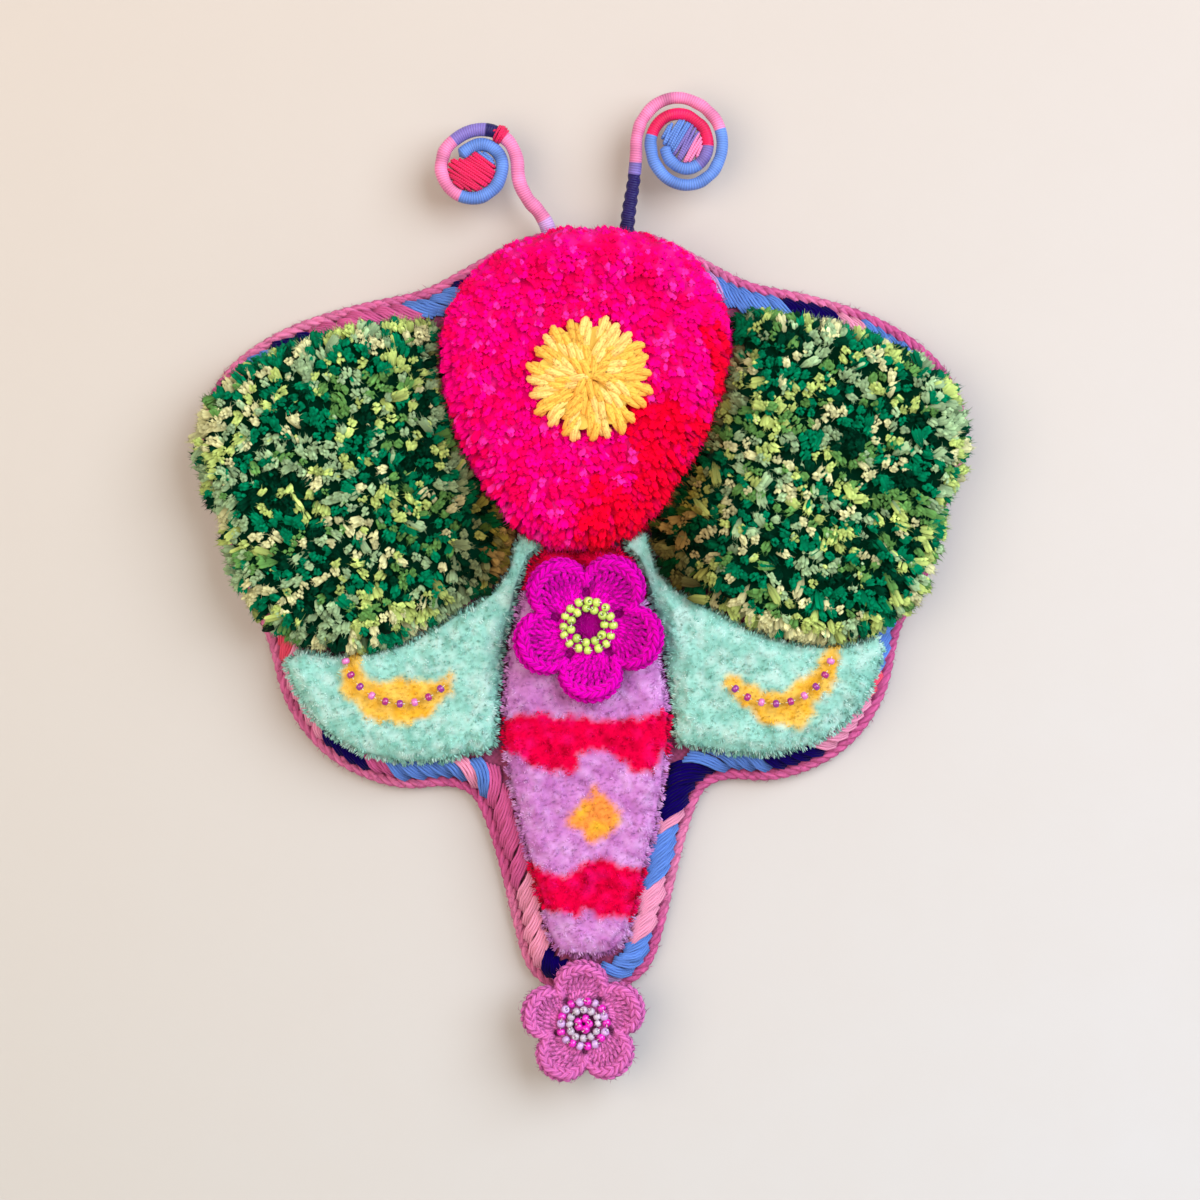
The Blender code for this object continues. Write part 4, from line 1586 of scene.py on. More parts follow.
@dataclass
class Edge:
    """The rope round the edge and the yarn oversewn in front of it.

    Attributes:
        base: The base's skin.
        rope_out: From the base's outline to the rope's middle.
        rope_depth: The rope's depth.
        rope_ply: Radius of each of its three plies.
        rope_lay: Length of a full twist.
        sides: How far out from the outline a stitch is at its start, along it and at its end.
        depths: Its depths, from start to end.
        plies: Plies of its yarn, side by side.
        strand: A ply's radius.
        pitch: Distance between stitches.
        reach: How far along the edge a stitch runs.
        clear: How far from the middle the oversewing stops at the feelers.
        neck: Height above which it does so.
        notch: Where the hindwings meet the abdomen, across and up.
        notch_reach: How far around there the stitches turn inwards.
        notch_in: How far they do.
        fibres: Loose fibres on the rope.
        fine: Distance between the places along the oversewn outline.
    """

    base: Skin
    rope_out: float = 2.75 * MM
    rope_depth: float = 3.2 * MM
    rope_ply: float = 1.2 * MM
    rope_lay: float = 10.5 * MM
    sides: tuple = (0.9 * MM, -0.3 * MM, -3.9 * MM, -5.9 * MM)
    depths: tuple = (6.2 * MM, 8.8 * MM, 11.2 * MM, 12.0 * MM, 11.6 * MM)
    plies: int = 4
    strand: float = 0.62 * MM
    pitch: float = 4.7 * MM
    reach: float = 10.5 * MM
    clear: float = 16.2 * MM
    neck: float = -20 * MM
    notch: tuple = (31 * MM, -176 * MM)
    notch_reach: float = 10 * MM
    notch_in: float = 5.0 * MM
    fibres: int = 2200
    fine: float = 0.25 * MM

    def outline(self, out: float, depth: float, step: float) -> Array:
        """The base's outline, moved outwards.

        Args:
            out: How far.
            depth: The depth it is given.
            step: How far apart its places are.

        Returns:
            Its places, clockwise from the front.
        """
        line = Yarn.smoothed(Yarn.even(self.base.ring(3 * MM), 2 * MM, True), 3, True)
        along = unit(np.roll(line, -1, axis=0) - np.roll(line, 1, axis=0))
        line = line + out * outward(along)
        line[:, 1] = -depth
        return Yarn.even(line, step, True)

    def rope(self, finish: Material) -> None:
        """Builds the rope.

        Args:
            finish: Its material.
        """
        line = self.outline(self.rope_out, self.rope_depth, 1.25 * MM)
        plies = Yarn.plied(line[None], 3, self.rope_ply * 0.94, self.rope_lay, True)
        drift = Drift(0.05, 21).at(line)
        share = eased(drift * 0.5 + 0.4)
        tints = np.tile(DUSTY * (1 - 0.45 * share) + PALE_PINK * 0.45 * share, (3, 1, 1))
        heap, chance = Heap(), np.random.default_rng(22)
        heap.swept(plies, self.rope_ply, tints * np.array([1.0, 0.9, 1.05])[:, None, None], 6, True)
        pick = chance.integers(0, len(line), self.fibres)
        around = chance.uniform(-0.7, 0.7, (self.fibres, 1)) * math.pi / 2
        along = unit(np.gradient(line, axis=0))[pick]
        ways = FORWARD * np.cos(around) + np.cross(along, FORWARD) * np.sin(around)
        fibres = tints[0, pick] * chance.uniform(0.8, 1.4, (self.fibres, 1))
        heap.fuzzed(line[pick] + ways * self.rope_ply * 1.9, ways, fibres, 1.8 * MM, chance)
        heap.made("rope", finish, "rose_rope", ("edge_rope",))

    def dyes(self, count: int, chance: Chance) -> Array:
        """The variegated yarn's dyes, stitch by stitch.

        Args:
            count: How many stitches.
            chance: The random numbers.

        Returns:
            A dye for each.
        """
        palette = np.array((SKY, NAVY, PALE_PINK, CORAL, LILAC, DUSTY))
        order, here = [], 0
        while len(order) < count:
            weights = np.array((0.38, 0.15, 0.20, 0.09, 0.12, 0.06))
            weights[here] = 0
            here = chance.choice(6, p=weights / weights.sum())
            order += [here] * int(chance.integers(1, 5 if here in (1, 3) else 8))
        return palette[np.array(order[:count])]

    def sewn(self) -> tuple[Array, Array]:
        """The part of the outline that is oversewn, from feeler to feeler.

        Returns:
            Its places, and the directions out from the base there.
        """
        line = self.outline(0.0, 0.0, self.fine)
        open_part = (line[:, 2] < self.neck) | (np.abs(line[:, 0]) > self.clear)
        start = np.flatnonzero(open_part & ~np.roll(open_part, 1))[0]
        line = np.roll(line, -start, axis=0)[: int(open_part.sum())]
        return line, outward(unit(np.gradient(Yarn.smoothed(line, 60), axis=0)))

    def stitches(self, finish: Material) -> None:
        """Builds the oversewing.

        Args:
            finish: The yarn's material.
        """
        chance = np.random.default_rng(41)
        line, out = self.sewn()
        steps = self.reach / self.fine
        first = np.arange(0, len(line) - 2 * steps, self.pitch / self.fine)
        first = first + chance.normal(0, 0.5 * MM / self.fine, len(first))
        each = (len(first), 1, 1)
        ply = (np.arange(self.plies) - (self.plies - 1) / 2)[:, None]
        t = np.linspace(0, 1, 7)
        reach = steps * chance.uniform(0.9, 1.12, each)
        at = first[:, None, None] + reach * (0.1 + 0.9 * t) + ply * self.strand * 1.35 / self.fine
        low = np.floor(np.clip(at, 0, len(line) - 2)).astype(int)
        foot = line[low]
        shift = chance.normal(0, 0.35 * MM, each)
        aside = np.interp(t, (0, 0.3, 0.7, 1), self.sides) + shift + ply * self.strand * 0.8
        depth = np.interp(t, (0, 0.25, 0.5, 0.8, 1), self.depths) + chance.normal(0, 0.15 * MM, each)
        depth = depth + 0.5 * MM * np.sin(math.pi * t) * (1 - np.abs(ply) / 3)
        away = (np.abs(foot[..., 0]) - self.notch[0]) ** 2 + (foot[..., 2] - self.notch[1]) ** 2
        corner = np.exp(-away / self.notch_reach**2) * t
        aside, depth = aside - self.notch_in * corner, depth + 0.5 * MM * corner
        places = foot + aside[..., None] * out[low] + FORWARD * depth[..., None]
        tints = self.dyes(len(first), chance)[:, None]
        tints = tints * (1 + chance.normal(0, 0.07, (len(first), self.plies, 1)))
        heap, lines, up = Heap(), places.reshape(-1, len(t), 3), np.array([0.05, 0.99, 0.12])
        heap.swept(lines, self.strand, tints.reshape(-1, 3), 5, up=up)
        heap.made("oversewing", finish, "edging_yarn", ("edge_yarn",))


# ---- crochet and beads


@dataclass
class CrochetFlower:
    """A crocheted flower: posts that fan out, and a chain round every petal.

    Attributes:
        node: The solid it stands for.
        name: The piece's name.
        centre: Its middle, across and up.
        radius: From there to a petal's tip.
        turn: Angle of the first petal.
        colour: Its dye.
        slot: The record's material slot.
        petals: How many petals.
        waist: Share of the radius at which petals part.
        bite: How round petals are.
        posts: Posts in a petal.
        ply: A ply's radius.
        post_lay: Length of a full twist in a post.
        rims: A petal's chains: share of the way out, millimetres above the skin, and lay.
        hubs: The rings round the middle: the same, with shares of the radius.
        skin: The solid's skin.
        chance: The random numbers.
        heap: What is built so far.
    """

    node: str
    name: str
    centre: tuple
    radius: float
    turn: float
    colour: Array
    slot: str
    petals: int = 5
    waist: float = 0.52
    bite: float = 0.42
    posts: int = 9
    ply: float = 0.80 * MM
    post_lay: float = 5.2 * MM
    rims: tuple = ((0.965, 0.6, 5.0), (0.90, 1.4, -5.0), (0.83, 0.9, 5.0))
    hubs: tuple = ((0.33, 0.7, 4.6), (0.27, 0.5, -4.6))
    heap: Heap = field(default_factory=Heap)

    def __post_init__(self) -> None:
        """Reads the solid and seeds the random numbers."""
        self.skin = Skin(self.node)
        self.chance = np.random.default_rng(int(self.radius / MM * 7))

    def on(self, share: Array, angle: Array, lift: float) -> Array:
        """Places on the flower's front.

        Args:
            share: Shares of the way to the edge.
            angle: Angles from the first petal.
            lift: How far above the skin.

        Returns:
            The places.
        """
        reach = self.waist + (1 - self.waist) * np.abs(np.cos(self.petals * angle / 2)) ** self.bite
        out = share * reach * self.radius
        turned = angle + self.turn
        x = self.centre[0] + out * np.cos(turned)
        z = self.centre[1] + out * np.sin(turned)
        found = self.skin.front(x, z)
        found[..., 1] -= lift
        return found

    def fans(self, half: float) -> None:
        """Adds the posts that fan out in each petal, with painted light and shade along them.

        Args:
            half: Half the angle of a petal.
        """
        share = np.linspace(0.30, 0.93, 13)
        fan = 0.62 + 0.38 * (share - 0.3) / 0.63
        lines = np.array([
            self.on(share, 2 * half * k + s * half * fan, 0.1 * MM)
            for k in range(self.petals) for s in np.linspace(-0.88, 0.88, self.posts)
        ])
        posts = Yarn.plied(lines, 2, self.ply * 0.85, self.post_lay)
        shades = 1 + self.chance.normal(0, 0.07, (len(lines), 1))
        tints = np.repeat(self.colour * shades, 2, axis=0)
        run = (share - share[0]) / (share[-1] - share[0])
        # Painted light and shade: posts are lightened most at both ends and least partway out, the
        # painted shade of the cupped petal.
        deep = 1.22 - 0.30 * np.sin(math.pi * run**1.4) ** 1.5
        self.heap.swept(posts, self.ply, tints[:, None] * deep[:, None], 5)

    def chains(self, half: float) -> None:
        """Adds the chains round each petal and the rings round the middle.

        Args:
            half: Half the angle of a petal.
        """
        t = np.linspace(-0.985, 0.985, 52)
        for share, lift, lay in self.rims:
            rims = np.array([
                self.on(np.full(52, share), 2 * half * k + t * half, lift * MM)
                for k in range(self.petals)
            ])
            rims = Yarn.plied(rims, 2, self.ply * 0.8, lay * MM)
            # Painted shade: the rims are darkened a little, against the light they catch.
            tints = self.colour * (0.92 + self.chance.normal(0, 0.05, (len(rims), 1)))
            self.heap.swept(rims, self.ply * 0.98, tints, 5)
        around = np.linspace(0, 2 * math.pi, 73)[:-1]
        for share, lift, lay in self.hubs:
            x = self.centre[0] + share * self.radius * np.cos(around)
            z = self.centre[1] + share * self.radius * np.sin(around)
            ring = self.skin.front(x, z)
            ring[:, 1] -= lift * MM
            plies = Yarn.plied(ring[None], 2, self.ply * 0.8, abs(lay) * MM, True, start=lay)
            self.heap.swept(plies, self.ply, np.tile(self.colour, (2, 1)), 6, True)

    def made(self, finish: Material) -> None:
        """Builds the flower.

        Args:
            finish: The yarn's material.
        """
        half = math.pi / self.petals
        self.fans(half)
        self.chains(half)
        # Painted shade: the ground under the posts is the yarn's dye darkened.
        self.heap.grounded(self.node, 0.7 * MM, self.colour * 0.66, 0.7)
        spots, ways = self.skin.scattered(0.64 * MM, 17, lambda points, normals: normals[:, 1] < -0.35)
        tints = self.colour * self.chance.uniform(0.7, 1.5, (len(spots), 1))
        tints = np.minimum(tints + 0.008, 1)
        self.heap.fuzzed(spots + ways * 1.0 * MM, ways, tints, 2.2 * MM, self.chance)
        self.heap.made(self.name, finish, self.slot, (self.node,))


@dataclass(frozen=True)
class BeadRing:
    """A ring of beads.

    Attributes:
        count: How many.
        radius: Of the ring.
        size: A bead's radius.
        depth: Depth of the beads' middles.
        dyes: Their dyes, in turn.
    """

    count: int
    radius: float
    size: float
    depth: float
    dyes: tuple


@dataclass
class Beads:
    """Glass beads sewn on at one place, and the ends of their thread.

    Attributes:
        name: The end of the pieces' names.
        slot: The record's material slot.
        seed: Seed of the draw.
        glass: The beads so far.
        thread: Their thread so far.
    """

    name: str
    slot: str
    seed: int
    glass: Heap = field(default_factory=Heap)
    thread: Heap = field(default_factory=Heap)

    def sew(self, centres: Array, axes: Array, size: Array, tints: Array) -> None:
        """Adds beads and the thread through each.

        Args:
            centres: K places.
            axes: K directions of their holes.
            size: K radii.
            tints: K dyes.
        """
        self.glass.placed(Bench.bead(0.26, 0.72), centres, axes, size, tints)
        t = np.linspace(-1, 1, 5)[None, :, None]
        reach = size[:, None, None] * 1.15
        lines = centres[:, None] + unit(axes)[:, None] * t * reach - FORWARD * (t**2 * reach * 0.4)
        white, up = np.tile(WHITE, (len(centres), 1)), np.array([0.1, -0.95, 0.2])
        self.thread.swept(lines, THREAD, white, 5, up=up)

    def rings(self, centre: tuple, *rings: BeadRing) -> Beads:
        """Sews rings of beads.

        Args:
            centre: The rings' middle, across and up.
            rings: Their sizes.

        Returns:
            The beads, these ones with them.
        """
        for ring in rings:
            count, chance = ring.count, np.random.default_rng(self.seed + ring.count)
            angle = (np.arange(count) + chance.normal(0, 0.06, count)) * 2 * math.pi / count
            out = ring.radius * (1 + chance.normal(0, 0.025, count))
            x, z = centre[0] + out * np.cos(angle), centre[1] + out * np.sin(angle)
            depth = -ring.depth + chance.normal(0, 0.15 * MM, count)
            along = np.stack([-np.sin(angle), chance.normal(0, 0.6, count), np.cos(angle)], axis=1)
            along = along + chance.normal(0, 0.3, along.shape)
            size = ring.size * chance.uniform(0.93, 1.07, count)
            tints = np.array([ring.dyes[i % len(ring.dyes)] for i in range(count)])
            tints = tints * (1 + chance.normal(0, 0.06, (count, 1)))
            self.sew(np.stack([x, depth, z], axis=1), along, size, tints)
        return self

    def made(self, glass: Material, thread: Material) -> None:
        """Builds the beads and their thread."""
        self.glass.made(f"beads_{self.name}", glass, self.slot)
        self.thread.made(f"bead_thread_{self.name}", thread, self.slot)


# ---- feelers


@dataclass(frozen=True)
class Wrap:
    """A stretch of thread wound round a feeler.

    Attributes:
        until: Share of the feeler's length at which it ends.
        colour: Its dye.
        twisted: Whether it is cord rather than a close winding.
    """

    until: float
    colour: Array
    twisted: bool = False


@dataclass
class Feeler:
    """A wire wound with thread, curled at its end, and the threads across the curl.

    Attributes:
        side: -1 for the left one, 1 for the right.
        name: Its name.
        curl: The curl's middle, across and up.
        reach: The curl's radius.
        tall: How much taller than wide it is.
        turns: How often it goes round.
        cord: Radius at the curl.
        wraps: The windings, from the root on.
        eye: Dyes of the threads across the curl, side by side.
        laid_at: Their slant in degrees.
        knot: Share of the length at which a knot sits, if any.
        root: How far from the middle it leaves the head.
        groove: Length of it in the groove behind the head.
        stalk: Radius at the root.
        root_depth: Depth at the root.
        tip_depth: Depth of the curl.
        turn_gap: Between the curl's turns.
        drawn_in: Share of each turn in which it is drawn in to the next.
    """

    side: int
    name: str
    curl: tuple
    reach: float
    tall: float
    turns: float
    cord: float
    wraps: tuple
    eye: tuple
    laid_at: float
    knot: float | None = None
    root: float = 13 * MM
    groove: float = 12 * MM
    stalk: float = 2.6 * MM
    root_depth: float = 8.2 * MM
    tip_depth: float = 13 * MM
    turn_gap: float = 0.6 * MM
    drawn_in: float = 0.36

    def line(self) -> tuple[Array, Array]:
        """The wire's middle line and its radius along it.

        Returns:
            The line's places and the radii.
        """
        pitch = 2 * self.cord + self.turn_gap
        start, level = self.curl[0] - self.reach - pitch, self.curl[1]
        handles = (self.root, 0), (self.root, 12 * MM), (start, level - 14 * MM), (start, level)
        t = np.linspace(0, 1, 60)[:, None]
        terms = ((1 - t) ** 3, 3 * t * (1 - t) ** 2, 3 * t * t * (1 - t), t**3)
        stalk = sum(term * handle for term, handle in zip(terms, np.array(handles)))
        turned = np.linspace(0, self.turns, 240)[1:]
        reach = self.reach + pitch * (1 - turned // 1 - eased(turned % 1 / self.drawn_in))
        angle = math.pi - 2 * math.pi * turned
        x, z = reach * np.cos(angle), reach * np.sin(angle) * self.tall
        curl = np.stack([self.curl[0] + x, self.curl[1] + z], axis=1)
        flat = np.concatenate([[(self.root, -self.groove)], stalk, curl])
        flat = Yarn.even(flat, 0.42 * MM)
        walked = np.concatenate([[0], np.cumsum(np.linalg.norm(np.diff(flat, axis=0), axis=1))])
        stalk_long = np.linalg.norm(np.diff(stalk, axis=0), axis=1).sum()
        risen = eased((walked - self.groove) / stalk_long)
        depth = self.root_depth + (self.tip_depth - self.root_depth) * risen
        line = np.stack([flat[:, 0] * self.side, -depth, flat[:, 1]], axis=1)
        return line, self.stalk + (self.cord - self.stalk) * risen

    def made(self, thread: Material) -> None:
        """Builds the feeler and its eye.

        Args:
            thread: The material of the thread.
        """
        line, radius = self.line()
        chance = np.random.default_rng(50 + self.side)
        ends = [wrap.until for wrap in self.wraps]
        which = np.searchsorted(ends, np.linspace(0, 1, len(line)))
        which = np.minimum(which, len(ends) - 1)
        colours = np.array([wrap.colour for wrap in self.wraps])[which]
        colours = colours * (1 + 0.12 * Drift(0.006, 60 + self.side).at(line))
        twisted = np.array([wrap.twisted for wrap in self.wraps])[which][None, :, None]

        def relief(along: Array, angle: Array) -> Array:
            """A factor on the radius: uneven winding, or three lobes where it is cord.

            Args:
                along: Metres along the feeler.
                angle: The angle round it.

            Returns:
                The factor.
            """
            lean = along / (1.9 * MM) + 2.2 * np.sin(along / (4.1 * MM)) + angle / 2
            lobes = np.abs(np.cos(1.5 * angle - math.pi * along / (3.4 * MM)))
            return np.where(twisted, 0.80 + 0.22 * lobes, 0.97 + 0.05 * np.sin(lean))

        heap = Heap()
        heap.swept(line[None], radius, colours[None], sides=12, relief=relief)
        if self.knot:
            self.tie(heap, line, radius, int(self.knot * len(line)), chance)
        slot = "wrapping_thread"
        heap.made(f"feeler_wound_{self.name}", thread, slot, (f"feeler_{self.name}",))
        eye = self.laid(radius[-1], chance)
        eye.made(f"eye_{self.name}", thread, "eye_thread", (f"curl_eye_{self.name}",))

    def tie(self, heap: Heap, line: Array, radius: Array, at: int, chance: Chance) -> None:
        """Adds a knot of thread with a short tail.

        Args:
            heap: Where it is added.
            line: The feeler's middle line.
            radius: Its radius along it.
            at: The place on the line.
            chance: The random numbers.
        """
        ahead = unit(line[at + 2] - line[at - 2])
        side = unit(np.cross(FORWARD, ahead))
        angle = np.linspace(0, 2 * math.pi, 21)[:-1, None]
        ring = np.cos(angle) * side + np.sin(angle) * np.cross(ahead, side)
        rings = []
        for i in range(7):
            tilt = ahead * 0.35 * MM * np.sin(angle + chance.uniform(0, 6))
            wide = radius[at] + (0.25 + 0.14 * (3 - abs(i - 3))) * MM
            rings.append(line[at + i - 3] + wide * ring + tilt)
        tints = CERISE * chance.uniform(0.85, 1.1, (7, 1))
        heap.swept(np.array(rings), 0.42 * MM, tints, 6, closed=True, up=ahead)
        t = np.linspace(0, 1, 9)[:, None]
        start, drop = line[at] + FORWARD * radius[at] * 0.8, np.array([0, 0, -1.0]) * t**2 * 2.5 * MM
        tails = [
            start + t * (self.side * side * out - ahead * back) * 4.2 * MM + drop
            for out, back in ((0.5, -0.5), (0.4, -0.9))
        ]
        dark, up = np.tile(CERISE * 0.85, (2, 1)), np.array([0.3, -0.9, 0.3])
        heap.swept(np.array(tails), 0.5 * MM, dark, up=up)

    def laid(self, cord: float, chance: Chance) -> Heap:
        """Threads laid side by side across the middle of the curl.

        Args:
            cord: Half the thickness of the curl.
            chance: The random numbers.

        Returns:
            Them, gathered.
        """
        skin = Skin(f"curl_eye_{self.name}")
        low, high = skin.points.min(axis=0), skin.points.max(axis=0)
        middle = (low + high) / 2
        slant = self.side * math.radians(self.laid_at)
        right = np.array([math.cos(slant), 0, math.sin(slant)])
        across = np.array([-math.sin(slant), 0, math.cos(slant)])
        reach = np.linalg.norm((high - low) * [1, 0, 1]) / 2
        t = np.linspace(-reach, reach, 90)
        lines, tints = [], []
        offsets = np.arange(-reach, reach, 0.92 * MM)
        for i, offset in enumerate(offsets):
            tilt = chance.normal(0, 0.06)
            flat = middle + right * t[:, None] + across * (offset + tilt * t)[:, None]
            met = np.flatnonzero(skin.front(flat[:, 0], flat[:, 2], 1.0)[:, 1] > -0.5)
            if len(met) < 6:
                continue
            first, last = t[met[0]] - 0.3 * MM, t[met[-1]] + 0.3 * MM
            along = np.linspace(first, last, 13)
            flat = middle + right * along[:, None] + across * (offset + tilt * along)[:, None]
            share = np.abs(2 * (along - first) / (last - first) - 1)
            edge = math.sqrt(max(1 - (offset / reach) ** 2, 0.1))
            bulge = cord * (0.42 + 0.55 * np.sqrt(np.maximum(1 - share**2.4, 0)) * edge)
            for face in (1, -1):
                deep = flat.copy()
                deep[:, 1] = -self.tip_depth - face * bulge * 0.8
                lines.append(deep)
                tints.append(self.eye[int(i / len(offsets) * len(self.eye))] * chance.uniform(0.86, 1.1))
        heap = Heap()
        heap.swept(np.array(lines), 0.56 * MM, np.array(tints), 6, up=np.array([0.02, -1, 0.05]))
        return heap


# ---- base, stage, light, camera


@dataclass
class BaseCloth:
    """The wadded base, covered in cloth.

    Attributes:
        node: The solid it stands for.
    """

    node: str = "base_panel"

    def made(self, finish: Material) -> None:
        """Builds the base.

        Args:
            finish: The cloth.
        """
        heap = Heap()
        heap.grounded(self.node, 0.0, np.ones(3), 1.0)
        piece = heap.made("base", finish, "base_cloth", (self.node,))


@dataclass
class Stage:
    """The wall and floor, the light and the camera.

    Attributes:
        wide: The wall's width.
        top: How far up the wall goes.
        floor: How far down the floor is.
        front: How far forward it comes.
        middle: Where the camera looks, across and up.
        shown: Width of what the camera sees.
        lens: Its focal length in millimetres.
        shift: How fast the paint's shade changes, in shares of the change in a metre.
        near: How close to a surface the wall casts no shadow on it.
        aim: Where the lamps point.
        lamps: Each lamp's name, place, width, watts and colour.
        room: Colour of the light of the room.
        glow: Its strength.
    """

    wide: float = 8.0
    top: float = 2.4
    floor: float = -1.4
    front: float = 4.0
    middle: tuple = (4 * MM, -121 * MM)
    shown: float = 0.408
    lens: float = 85.0
    # shift: How fast the painted light and shade on the wall change, in shares of the change in a metre.
    shift: float = 2.6
    near: float = 1.4 * MM
    aim: tuple = (0, 0, -0.12)
    lamps: tuple = (
        ("key", (1.0, -1.3, 0.45), 1.5, 39.5, (0.92, 0.99, 1.09)),
        ("fill", (-0.9, -1.5, -0.1), 1.6, 25.0, (1.0, 0.83, 0.68)),
        ("rear", (0.3, 1.2, 0.6), 1.0, 14.0, (1.0, 0.98, 0.96)),
    )
    room: tuple = (1.0, 0.88, 0.77, 1)
    glow: float = 0.5

    def wall_finish(self) -> Material:
        """Warm white paint with painted light and shade, warmer and darker at the lower left and cooler
        and lighter at the lower right, and clear from behind.

        Returns:
            The material.
        """
        graph = Graph("wall_paint")
        grain = graph.noise(40.0, 3.0)
        place = graph.add("ShaderNodeTexCoord", output="Object")
        spot = graph.add("ShaderNodeSeparateXYZ", {}, {0: place})
        across = spot * self.shift + 0.5
        # Painted light and shade: the paint changes across and up the wall as the light does, darkest
        # and warmest at the lower left.
        low = graph.mix(across, dye(179, 178, 174), dye(187, 189, 191))
        high = graph.mix(across, dye(186, 179, 171), dye(185, 180, 176))
        paint = graph.mix(spot.other("Z") * self.shift + 0.8, low, high)
        graph.set(Base_Color=graph.mix(grain * 0.2, paint, dye(181, 173, 166)))
        graph.set(Roughness=0.95, Specular_IOR_Level=0.1)
        behind = graph.add("ShaderNodeNewGeometry", output="Backfacing")
        reach = graph.add("ShaderNodeLightPath", output="Ray Length")
        close = reach.sum("LESS_THAN", reach, self.near) * reach.other("Is Shadow Ray")
        shell = Value(graph, graph.shader.outputs[0])
        clear = graph.add("ShaderNodeBsdfTransparent")
        through = behind.sum("MAXIMUM", behind, close)
        mixed = graph.add("ShaderNodeMixShader", {}, {0: through, 1: shell, 2: clear})
        graph.feed(graph.tree.nodes["Material Output"].inputs["Surface"], mixed)
        return graph.material

    def wall(self) -> None:
        """Builds the wall and floor as one swept sheet."""
        Bench.cleared()
        bpy.ops.mesh.primitive_plane_add(size=1, location=(0, 0, 0), rotation=(math.pi / 2, 0, 0))
        sheet = bpy.context.object
        sheet.name = "wall_and_floor"
        bpy.ops.object.transform_apply(location=False, rotation=True, scale=False)
        bpy.ops.object.mode_set(mode="EDIT")
        bpy.ops.mesh.select_all(action="SELECT")
        size = (self.wide, 1, self.top - self.floor)
        bpy.ops.transform.resize(value=size, center_override=(0, 0, 0))
        bpy.ops.transform.translate(value=(0, 0.6 * MM, (self.top + self.floor) / 2))
        Bench.chosen(sheet, lambda co: co.z < 0)
        bpy.ops.mesh.select_mode(type="EDGE")
        bpy.ops.mesh.extrude_region_move(TRANSFORM_OT_translate={"value": (0, -self.front, 0)})
        bend = self.floor + 1e-4
        Bench.chosen(sheet, lambda co: co.z < bend and co.y > -0.01)
        bpy.ops.mesh.bevel(offset=0.25, segments=8, affect="EDGES")
        bpy.ops.mesh.select_all(action="SELECT")
        bpy.ops.mesh.normals_make_consistent(inside=True)
        bpy.ops.object.mode_set(mode="OBJECT")
        sheet.data.shade_smooth()
        sheet.data.materials.append(self.wall_finish())

    def light(self) -> None:
        """Adds the lamps and the light of the room."""
        scene = bpy.context.scene
        for name, place, size, power, colour in self.lamps:
            data = bpy.data.lights.new(name, "AREA")
            data.size, data.energy, data.color = size, power, colour
            lamp = bpy.data.objects.new(name, data)
            lamp.location = place
            towards = Vector(self.aim) - Vector(place)
            lamp.rotation_euler = towards.to_track_quat("-Z", "Y").to_euler()
            scene.collection.objects.link(lamp)
        scene.world = bpy.data.worlds.new("room")
        scene.world.use_nodes = True
        inputs = scene.world.node_tree.nodes["Background"].inputs
        inputs["Color"].default_value, inputs["Strength"].default_value = self.room, self.glow
        scene.view_settings.view_transform = "Standard"

    def camera(self) -> None:
        """Adds the camera, straight on."""
        data = bpy.data.cameras.new("camera")
        data.lens = self.lens
        far = self.shown * self.lens / data.sensor_width
        camera = bpy.data.objects.new("camera", data)
        camera.location = (self.middle[0], -far, self.middle[1])
        camera.rotation_euler = (math.pi / 2, 0, 0)
        bpy.context.scene.collection.objects.link(camera)
        bpy.context.scene.camera = camera


# ---- the whole hanging


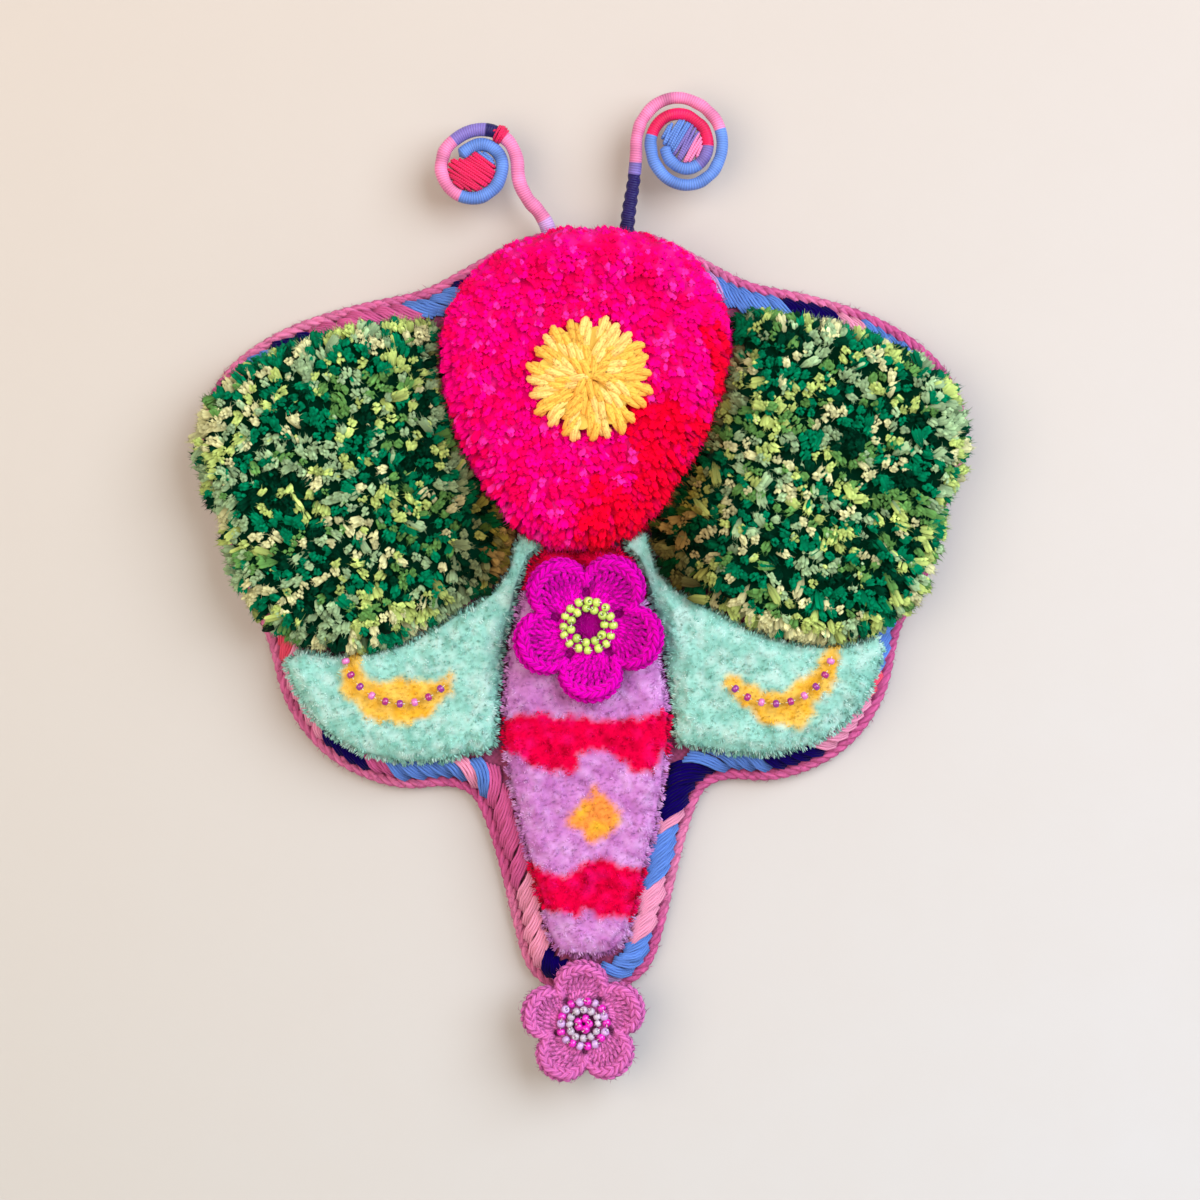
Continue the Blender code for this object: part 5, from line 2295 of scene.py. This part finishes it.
class Hanging:
    """The moth, put together panel by panel."""

    ROSETTE_AT = (0.5 * MM, -48 * MM)
    WAIST_AT = (0.0, -129.5 * MM)
    TAIL_AT = (-1.5 * MM, -262.5 * MM)

    def __init__(self) -> None:
        """Makes the finishes."""
        self.pile = YarnFinish("cut_yarn", root=0.3, fleck=0.9).made()
        self.fine = YarnFinish("fine_yarn", root=0.72, fleck=0.45, depth=0.0001).made()
        self.loops = YarnFinish("loop_yarn", fleck=0.5, lines=7, slant=160.0).made()
        self.cord = YarnFinish("cord_yarn", fleck=0.6, lines=4, slant=150.0).made()
        self.crochet = YarnFinish(
            "crochet_yarn", root=0.2, fleck=0.8, roughness=0.92, lines=4, slant=250.0
        ).made()
        self.thread = YarnFinish(
            "thread", root=0.6, fleck=0.5, roughness=0.5, sheen=0.1, lines=1, slant=1 / THREAD_PITCH,
            line_share=0.6, shine=0.3,
        ).made()
        self.glass = GlassFinish("lined_glass").made()
        self.clear = GlassFinish("clear_glass", roughness=0.06, clear=0.35).made()
        # The backing cloth's dark plum is partly its own colour and partly painted shade, for where it
        # shows between the panels.
        self.cloth = ClothFinish("backing_cloth", tuple(dye(150, 66, 108))).made()

    @staticmethod
    def near(points: Array, centre: tuple, reach: float) -> Array:
        """Whether places lie within reach of a centre, as seen from the front."""
        return np.hypot(points[:, 0] - centre[0], points[:, 2] - centre[1]) < reach

    def under_rosette(self, points: Array) -> Array:
        """Whether places lie under the rosette."""
        return self.near(points, self.ROSETTE_AT, 16.5 * MM) & (points[:, 1] < -24 * MM)

    def under_flower(self, points: Array) -> Array:
        """Whether places lie under the middle of the waist flower."""
        return self.near(points, self.WAIST_AT, 10 * MM)

    def panels(self) -> None:
        """Builds the six panels of pile."""
        wings = (
            ("forewing", SHAGGY, forewing_pattern, "green_pile", 200, self.pile),
            ("hindwing", FINE, hindwing_pattern, "mint_pile", 300, self.fine),
        )
        PilePanel(
            "pile_head", COARSE, head_pattern, "pink_pile", 100, bare=self.under_rosette
        ).made(self.pile)
        for i, side in enumerate(("left", "right")):
            for name, cut, pattern, slot, seed, finish in wings:
                PilePanel(f"pile_{name}_{side}", cut, pattern, slot, seed + i).made(finish)
        PilePanel(
            "pile_abdomen", SHORN, abdomen_pattern, "lavender_pile", 400, bare=self.under_flower
        ).made(self.fine)

    def flowers(self) -> None:
        """Builds the two flowers and their beads."""
        magenta, rose, waist, tail = "magenta_crochet", "rose_crochet", self.WAIST_AT, self.TAIL_AT
        CrochetFlower(
            "crochet_flower_waist", "waist_flower", waist, 25.5 * MM, math.radians(-15), MAGENTA, magenta
        ).made(self.crochet)
        Beads("waist", magenta, 71).rings(
            waist, BeadRing(16, 8.3 * MM, 1.5 * MM, 27.4 * MM, (APPLE,)),
            BeadRing(11, 5.7 * MM, 1.5 * MM, 27.2 * MM, (APPLE, APPLE * 0.85)),
        ).made(self.glass, self.thread)
        CrochetFlower(
            "crochet_flower_tail", "tail_flower", tail, 21 * MM, math.radians(21), ROSE, rose
        ).made(self.crochet)
        Beads("tail", rose, 72).rings(
            tail, BeadRing(18, 7.7 * MM, 1.45 * MM, 17.4 * MM, (MAGENTA, LILAC)),
            BeadRing(5, 1.9 * MM, 1.4 * MM, 17.9 * MM, (MAGENTA,)),
        ).made(self.glass, self.thread)
        Beads("tail_clear", rose, 73).rings(
            tail, BeadRing(12, 4.9 * MM, 1.3 * MM, 17.8 * MM, (PEARL,))
        ).made(self.clear, self.thread)

    def crescents(self) -> None:
        """Sews a row of beads along each crescent."""
        beads = Beads("wings", "mint_pile", 74)
        angle = np.radians(np.linspace(228, 344, 9))
        z = (-136 + 19.5 * np.sin(angle)) * MM
        tints = np.array([PLUM, DEEP_MAGENTA * 1.6, ROSE] * 3)
        for side, name in ((-1, "left"), (1, "right")):
            x = (62 + 19.5 * np.cos(angle)) * MM * side
            places = Skin(f"pile_hindwing_{name}").front(x, z) + FORWARD * 1.9 * MM
            along = np.stack([-np.sin(angle) * side, np.zeros(9), np.cos(angle)], axis=1)
            beads.sew(places, along, np.full(9, 1.4 * MM), tints)
        beads.made(self.glass, self.thread)

    def feelers(self) -> None:
        """Builds the two feelers."""
        left = (
            Wrap(0.15, LILAC), Wrap(0.40, BLOSSOM), Wrap(0.44, NAVY), Wrap(0.53, IRIS),
            Wrap(0.70, BLOSSOM), Wrap(1.0, SKY),
        )
        right = (
            Wrap(0.185, NAVY, True), Wrap(0.205, IRIS), Wrap(0.465, BLOSSOM), Wrap(0.725, SKY),
            Wrap(0.88, CERISE), Wrap(0.92, IRIS), Wrap(1.0, SKY),
        )
        Feeler(
            -1, "left", (39 * MM, 24.5 * MM), 10.2 * MM, 1.05, 1.36, 2.3 * MM, left,
            (CERISE, CERISE * 0.85, CERISE, CERISE, SKY), 35, knot=0.40,
        ).made(self.thread)
        Feeler(
            1, "right", (33 * MM, 32 * MM), 12 * MM, 1.15, 1.97, 2.1 * MM, right,
            (BLOSSOM, BLOSSOM, IRIS, SKY, SKY, SKY), 62,
        ).made(self.thread)

    def made(self) -> None:
        """Builds the whole hanging."""
        BaseCloth().made(self.cloth)
        self.panels()
        LoopRosette(self.ROSETTE_AT).made(self.loops)
        edge = Edge(Skin("base_panel"))
        edge.rope(self.cord)
        edge.stitches(self.cord)
        self.flowers()
        self.crescents()
        self.feelers()


def main() -> None:
    """Builds the hanging and the room it hangs in."""
    logging.basicConfig(level=logging.INFO, format="%(name)s: %(message)s")
    Hanging().made()
    stage = Stage()
    stage.wall()
    stage.light()
    stage.camera()


if __name__ == "__main__":
    main()
